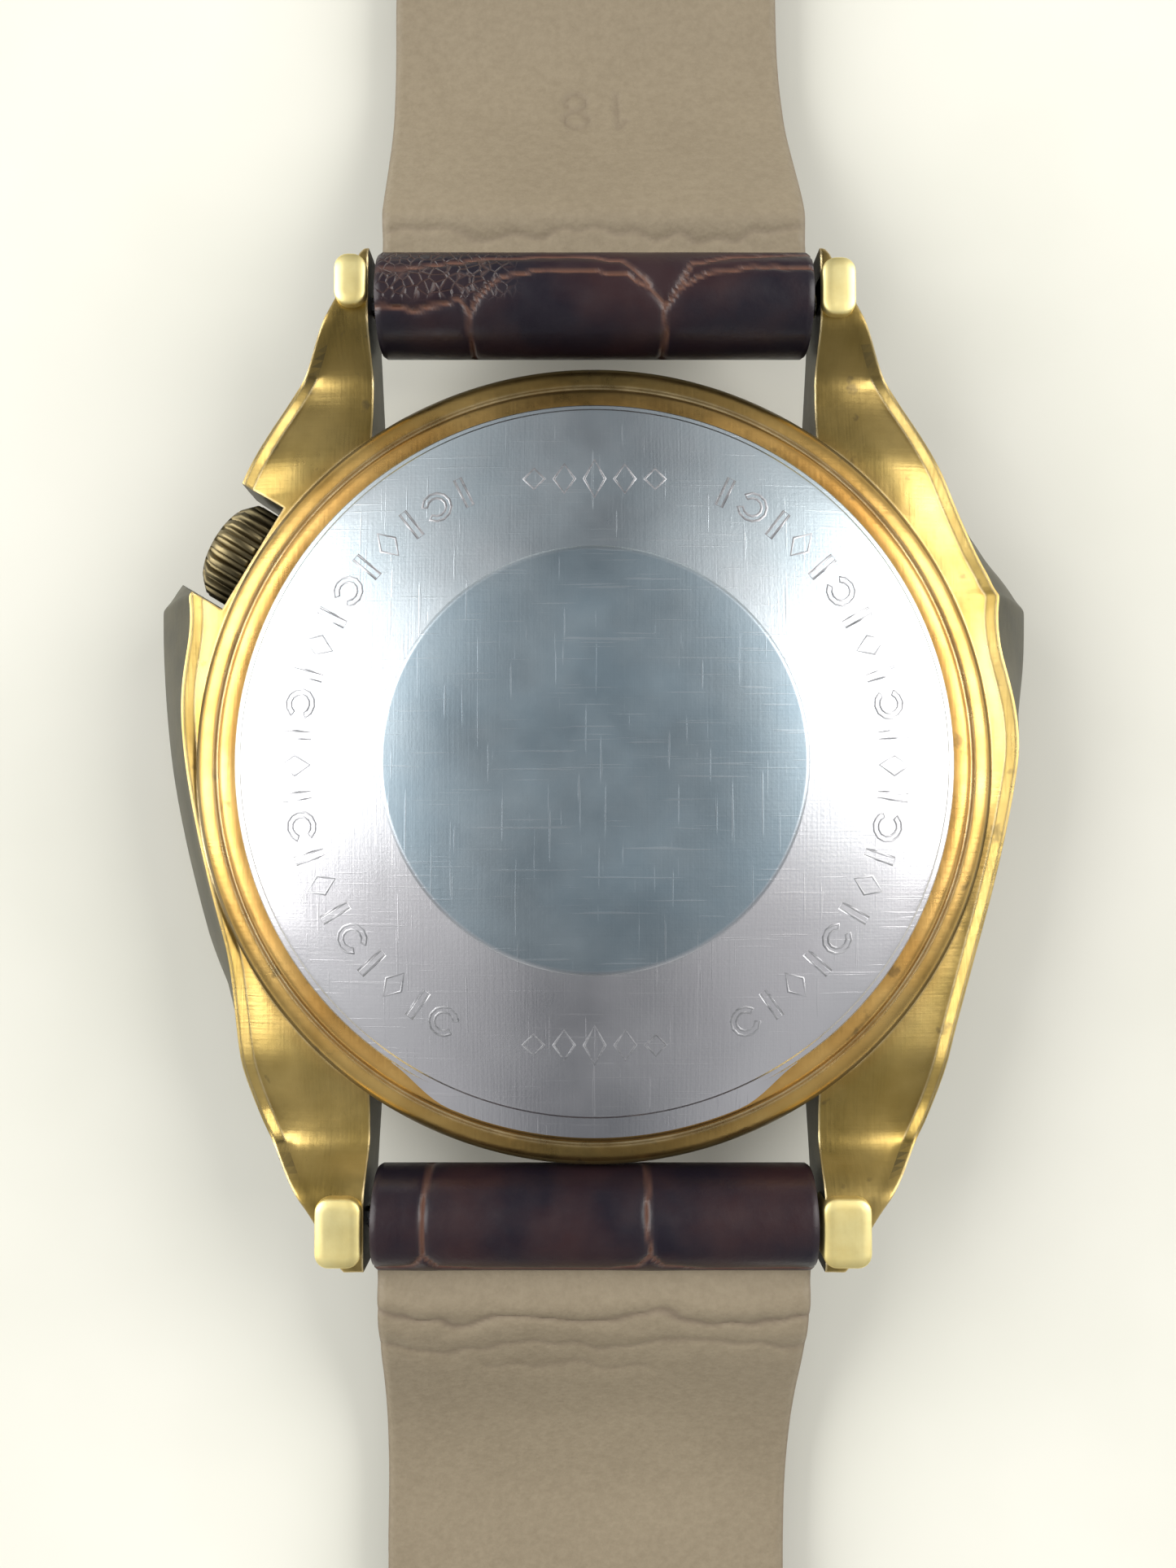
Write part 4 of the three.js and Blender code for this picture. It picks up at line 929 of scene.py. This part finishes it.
def build_leather(key, sign, end, lifted, node):
    """Leather of one strap half, rolled round its spring bar, with the roll's creases as real dips."""
    bar = abs(BAR_Y[key])
    columns = 120
    wave = 0.14 if key == "12" else 0.05
    rings = []
    fields = {"crease": [], "scales": [], "pebble": []}
    for distance, z, part in strap_path(bar, end, lifted):
        half = strap_half(distance, bar, lifted)
        drift = side_drift(distance, bar)
        ring = []
        for i in range(columns + 1):
            across = lerp(-1, 1, i / columns)
            x = across * half
            deep = pebble = scale = push = 0.0
            if part == "roll":
                out = Vector((0, distance - bar, z - BAR_Z)).normalized()
                up_roll = distance - bar + TUBE_R if sign > 0 else bar + TUBE_R - distance
                if out.z > -0.2:
                    wander = wave * noise.noise(Vector((x, up_roll, 0)) * 1.3)
                    deep = line_depth(Vector((x + wander, up_roll + wander)), CREASES[key], 0.065)
                    hollow = line_depth(Vector((x + wander, up_roll)), CREASES[key], 0.28)
                    push = -0.10 * deep - 0.03 * hollow
                    if key == "12":
                        fade = smooth(abs(x), 8.7, 8.3)
                        pebble = smooth(-x, 2.6, 4.6) * smooth(up_roll, 1.4, 1.9) * fade
                else:
                    scale = 1.0
                push -= 0.1 * smooth(abs(across), 0.985, 1.0)
                distance_out, z_out = distance + push * out.y, z + push * out.z
            else:
                edge = 0.3 * smooth(abs(across), 0.93, 1.0) ** 2
                scale = 1.0 if part == "under" else 0.0
                z_out = z + (edge if part == "under" else -0.4 * edge)
                distance_out = distance
            ring.append((x + drift, sign * distance_out, z_out))
            for field, value in (("crease", deep), ("scales", scale), ("pebble", pebble)):
                fields[field].append(value)
        rings.append(ring)
    width = columns + 1
    faces = []
    count = len(rings)
    for r in range(count):
        after = (r + 1) % count
        for i in range(columns):
            faces.append((r * width + i, r * width + i + 1, after * width + i + 1, after * width + i))
    for side in (0, columns):
        faces.append(tuple(r * width + side for r in range(count)))
    points = [p for ring in rings for p in ring]
    piece = strap_object(node + "_hide", points, faces, fields)
    boolean(piece, "DIFFERENCE", [cross_rod(STRAP_BORE_R, 12, sign * bar, BAR_Z)])
    return piece


def finish_leather(piece, node, body):
    shade(piece, 40)
    dress(piece, CROCODILE, body, node)


def build_short_leather():
    """The 12 o'clock half, which ends in a slotted tube round the buckle's bar."""
    piece = build_leather("12", 1, SHORT_END, True, "strap_short_leather")
    boolean(piece, "UNION", [cross_rod(BUCKLE_TUBE_R, TIP_HALF, SHORT_END, BUCKLE_Z)])
    bore = cross_rod(0.9, 12, SHORT_END, BUCKLE_Z)
    slot = box("slot", -1.3, 1.3, SHORT_END - 3.2, SHORT_END + 3, 0, REACH)
    boolean(piece, "DIFFERENCE", [bore, slot])
    finish_leather(piece, "strap_short_leather", "strap_short")


def strap_holes():
    """Cutters for the holes that the buckle's tongue goes through."""
    cutters = []
    for i in range(HOLES):
        y = -(LONG_END - LAST_HOLE - HOLE_PITCH * i)
        cutters.append(rod("hole", HOLE_R, (0, y, -5), (0, y, 20)))
    return cutters


def build_long_leather():
    piece = build_leather("6", -1, LONG_END, False, "strap_long_leather")
    boolean(piece, "DIFFERENCE", strap_holes())
    finish_leather(piece, "strap_long_leather", "strap_long")


# Wrinkles of the lining by the lugs, each with its depth, in mm.
WRINKLES = {
    "6": [
        ([(-8.7, -22.0), (-6.0, -22.6), (-3.2, -22.1), (-0.5, -22.5), (2.4, -22.0), (5.0, -22.6),
          (8.6, -22.2)], 0.10),
        ([(-8.6, -23.6), (-5.5, -24.1), (-2.6, -23.4), (0.8, -23.9), (3.6, -23.3), (8.5, -23.8)], 0.06),
        ([(-4.4, -24.8), (-1.0, -24.6), (2.2, -24.9)], 0.04),
    ],
    "12": [
        ([(-8.4, 21.9), (-4.0, 21.6), (0.0, 21.9), (4.2, 21.5), (8.4, 21.9)], 0.05),
    ],
}


def ellipse(x, y, across, up, steps=14):
    """Closed line of short straight pieces."""
    return [(x + across * math.cos(i * 2 * math.pi / steps), y + up * math.sin(i * 2 * math.pi / steps))
            for i in range(steps + 1)]


# The strap's width in mm, 18, stamped with the digits' tops towards the case.
STAMP = [
    [(1.25, 28.0), (1.25, 30.0)],
    [(1.25, 28.0), (1.65, 28.5)],
    ellipse(-0.55, 28.5, 0.52, 0.5),
    ellipse(-0.55, 29.52, 0.46, 0.46),
]


def build_lining(key, sign, end, lifted, node, body):
    """Lining of one strap half, finely meshed by the lug, where it is wrinkled and stamped."""
    bar = abs(BAR_Y[key])
    start = bar + TUBE_R
    marked_length = 16
    line, hollow = 0.13, 0.55  # half widths of a wrinkle's sharp line and of the hollow round it
    stops = lengthwise(start, end, 0.12, 135, 0.8)
    columns = 132
    top, bottom, crease_values = [], [], []
    for distance in stops:
        half = strap_half(distance, bar, lifted)
        drift = side_drift(distance, bar)
        base = underside(distance, bar, lifted) + leather_thickness(distance, bar) + 0.02
        thick = LINING * smooth(distance, bar + 1.8, bar + 4)
        for i in range(columns + 1):
            across = lerp(-1, 1, i / columns)
            x = across * half
            y = sign * distance
            height, crease = base + thick, 0.0
            if distance < start + marked_length:
                wander = 0.35 * noise.noise(Vector((x * 0.9, y * 0.9, 3.0)))
                for wrinkle, depth in WRINKLES[key]:
                    deep = line_depth(Vector((x, y + wander)), [wrinkle], line)
                    wide = line_depth(Vector((x, y + wander)), [wrinkle], hollow)
                    height -= min(depth * (1.2 * deep + 1.8 * wide), 0.5 * thick)
                    # the wrinkle's line darkens the lining's colour as painted shade
                    crease = max(crease, deep * depth / 0.1)
                if key == "12" and abs(x) < 3 and 27 < y < 31:  # round the stamp
                    deep = line_depth(Vector((x, y)), STAMP, line)
                    height -= 0.12 * deep
                    crease = max(crease, 0.5 * deep)
                height += 0.05 * noise.noise(Vector((x * 0.5, y * 0.4, 7.0)))
            height -= min(0.7 * thick, 0.2) * smooth(abs(across), 0.97, 1.0)
            height = max(height, base + 0.15 * thick)
            crease = max(crease, 0.9 * smooth(abs(across), 0.985, 0.995))
            top.append((x + drift, y, height))
            if i in (0, columns):
                bottom.append((x + drift, y, base))
            crease_values.append(crease)
    width = columns + 1
    count = len(stops)
    first = len(top)
    faces = []
    for r in range(count - 1):
        for i in range(columns):
            a = r * width + i
            faces.append((a, a + 1, a + width + 1, a + width))
        low = first + 2 * r
        faces.append((r * width, (r + 1) * width, low + 2, low))
        faces.append((r * width + columns, low + 1, low + 3, (r + 1) * width + columns))
        faces.append((low, low + 2, low + 3, low + 1))
    last = first + 2 * (count - 1)
    faces.append((*range(width), first + 1, first))
    faces.append((*range((count - 1) * width, count * width), last + 1, last))
    fields = {"crease": crease_values + [1.0] * len(bottom)}
    piece = strap_object(node + "_calf", top + bottom, faces, fields)
    if not lifted:
        boolean(piece, "DIFFERENCE", strap_holes())
    shade(piece, 45)
    dress(piece, CALF, body, node)


def build_keeper(node, body):
    """Leather loop, thinned towards its two edges."""
    low, high = box_mm(node)
    wall, outer_corner, inner_corner, steps = 0.95, 1.1, 0.25, 8
    outer = rounded_ring(high[0], low[2], high[2], outer_corner, 10)
    inner = rounded_ring(high[0] - wall, low[2] + wall, high[2] - wall, inner_corner, 10)
    sections = []
    for (ox, oz), (ix, iz) in zip(outer, inner):
        section = []
        for t in range(steps + 1):
            y = lerp(low[1], high[1], t / steps)
            rounding = 0.22 * abs(2 * t / steps - 1) ** 3
            section.append((lerp(ox, ix, rounding), y, lerp(oz, iz, rounding)))
        section += [(ix, high[1], iz), (ix, low[1], iz)]
        sections.append(section)
    band = swept(node + "_band", sections, True, 40)
    for field, value in (("crease", 0.0), ("scales", 1.0), ("pebble", 0.0)):
        attribute(band, field, [value] * len(band.data.vertices))
    dress(band, CROCODILE, body, node)


# ---------------- buckle


def buckle_place(point):
    """From the buckle's own frame, which lies along its bar, to the watch's frame."""
    spin = Matrix.Rotation(math.radians(-9), 3, "X")
    return tuple(spin @ Vector(point) + Vector((0, SHORT_END, BUCKLE_Z)))


def build_buckle():
    """Bowed frame and its tongue; the frame's path is (x, y, half width)."""
    path = [(-9.2, -1.4, 0.8), (-9.2, 0, 0.8), (-9.2, 4, 0.8), (-9.2, 7.6, 0.82)]
    for i in range(1, 8):
        angle = math.radians(180 - 90 * i / 8)
        path.append((-7.4 + 1.8 * math.cos(angle), 7.4 + 1.8 * math.sin(angle), lerp(0.82, 1.15, i / 8)))
    path.append((-7.2, 9.2, 1.2))
    path += [(-x, y, w) for x, y, w in reversed(path)]
    rings = []
    sides, squareness, half_height = 24, 0.7, 0.9
    for i, (x, y, width) in enumerate(path):
        before, after = path[max(i - 1, 0)], path[min(i + 1, len(path) - 1)]
        along = Vector((after[0] - before[0], after[1] - before[1])).normalized()
        out = Vector((-along.y, along.x))
        ring = []
        for angle in angles(sides):
            flat = abs(math.cos(angle)) ** squareness * math.copysign(width, math.cos(angle))
            tall = abs(math.sin(angle)) ** squareness * math.copysign(half_height, math.sin(angle))
            ring.append(buckle_place((x + out.x * flat, y + out.y * flat, tall)))
        rings.append(ring)
    bow = swept("buckle_bow", rings, sharp=50)
    boolean(bow, "DIFFERENCE", [cross_rod(0.8, 12, SHORT_END, BUCKLE_Z)])
    shade(bow, 45)
    dress(bow, FITTING_GOLD, "buckle", "buckle_frame")
    sections = []
    sides, thin = 16, 0.4
    spine = ((0, 0.95, 0.8), (4, 1.05, 0.8), (8, 1.55, 0.78), (10.4, 1.57, 0.7), (11, 1.5, 0.45))
    for along, z, half in spine:
        sections.append([buckle_place((half * math.cos(angle), along, z + thin * math.sin(angle)))
                         for angle in angles(sides)])
    blade = swept("buckle_pin", sections, sharp=50)
    boolean(blade, "UNION", [cross_rod(1.25, 0.9, SHORT_END, BUCKLE_Z)])
    boolean(blade, "DIFFERENCE", [cross_rod(0.82, 3, SHORT_END, BUCKLE_Z)])
    shade(blade, 45)
    dress(blade, FITTING_GOLD, "tongue", "buckle_tongue")


# ---------------- front side


def build_front():
    """Bezel and crystal, which the table hides while the watch lies face down."""
    bezel = turned("bezel_ring", [
        (14.42, 0.35), (14.6, 0.22), (14.95, 0.3), (15.45, 0.85), (15.8, 1.5), (15.98, 2.1),
        (BEZEL_R, 2.45), (16.02, 2.56), (15.9, 2.58), (15.05, 2.58), (15.05, 1.55),
        (14.85, 1.55), (14.85, 0.44), (14.45, 0.44),
    ])
    polish = gold_plain("bezel_gold", (0.66, 0.46, 0.18), (0.50, 0.33, 0.12), 0.16)
    dress(bezel, polish, "case", "bezel")
    glass = turned("crystal_disc", [
        (AXIS_R, 0), (14.1, 0), (14.25, 0.06), (14.36, 0.18), (CRYSTAL_R, 0.34),
        (CRYSTAL_R, CRYSTAL_Z), (AXIS_R, CRYSTAL_Z),
    ])
    dress(glass, crystal_glass(), "case", "crystal")


def paint_carried_nodes():
    """Materials for the CAD nodes that are shown as packed."""
    looks = {
        "gold_case": gold_plain("inner_gold", (0.66, 0.46, 0.18), (0.5, 0.34, 0.13), 0.2),
        "steel": plain_metal("polished_steel", (0.62, 0.63, 0.65), 0.2),
        "brass": plain_metal("movement_brass", (0.78, 0.58, 0.26), 0.25),
        "plated": plain_metal("nickel_plate", (0.68, 0.66, 0.62), 0.28),
        "gold_fittings": FITTING_GOLD,
        "dial": dial_metal(),
        "rubber": soft_plastic("rubber", (0.02, 0.02, 0.02), 0.7),
        "plastic": soft_plastic("holder_plastic", (0.72, 0.7, 0.62), 0.5),
    }
    slots = {part["node"]: part["material_slot"] for part in frame["record"]["subparts"]}
    for name, obj in frame["nodes"].items():
        if slots[name] in looks and not obj.hide_render:
            paint(obj, looks[slots[name]])


CROCODILE = crocodile()
CALF = tan_lining()
FITTING_GOLD = gold_plain("fitting_gold", (0.70, 0.50, 0.20), (0.52, 0.35, 0.13), 0.14)

add_camera()
set_colours()
add_world()
add_light("left_window", (-0.55, 0.1, 0.35), (0.5, 0.6), 5, (1.0, 0.99, 0.97))
add_light("right_window", (0.55, 0.15, 0.4), (0.45, 0.55), 4.4, (1.0, 0.98, 0.95))
add_table()
build_case()
build_pads()
build_case_back()
build_engraving()
build_crown()
build_short_leather()
build_long_leather()
build_lining("12", 1, SHORT_END - 3.6, True, "strap_short_lining", "strap_short")
build_lining("6", -1, LONG_END, False, "strap_long_lining", "strap_long")
build_keeper("fixed_keeper", "strap_short")
build_keeper("free_keeper", "free_keeper")
build_buckle()
build_front()
paint_carried_nodes()

bpy.context.view_layer.update()
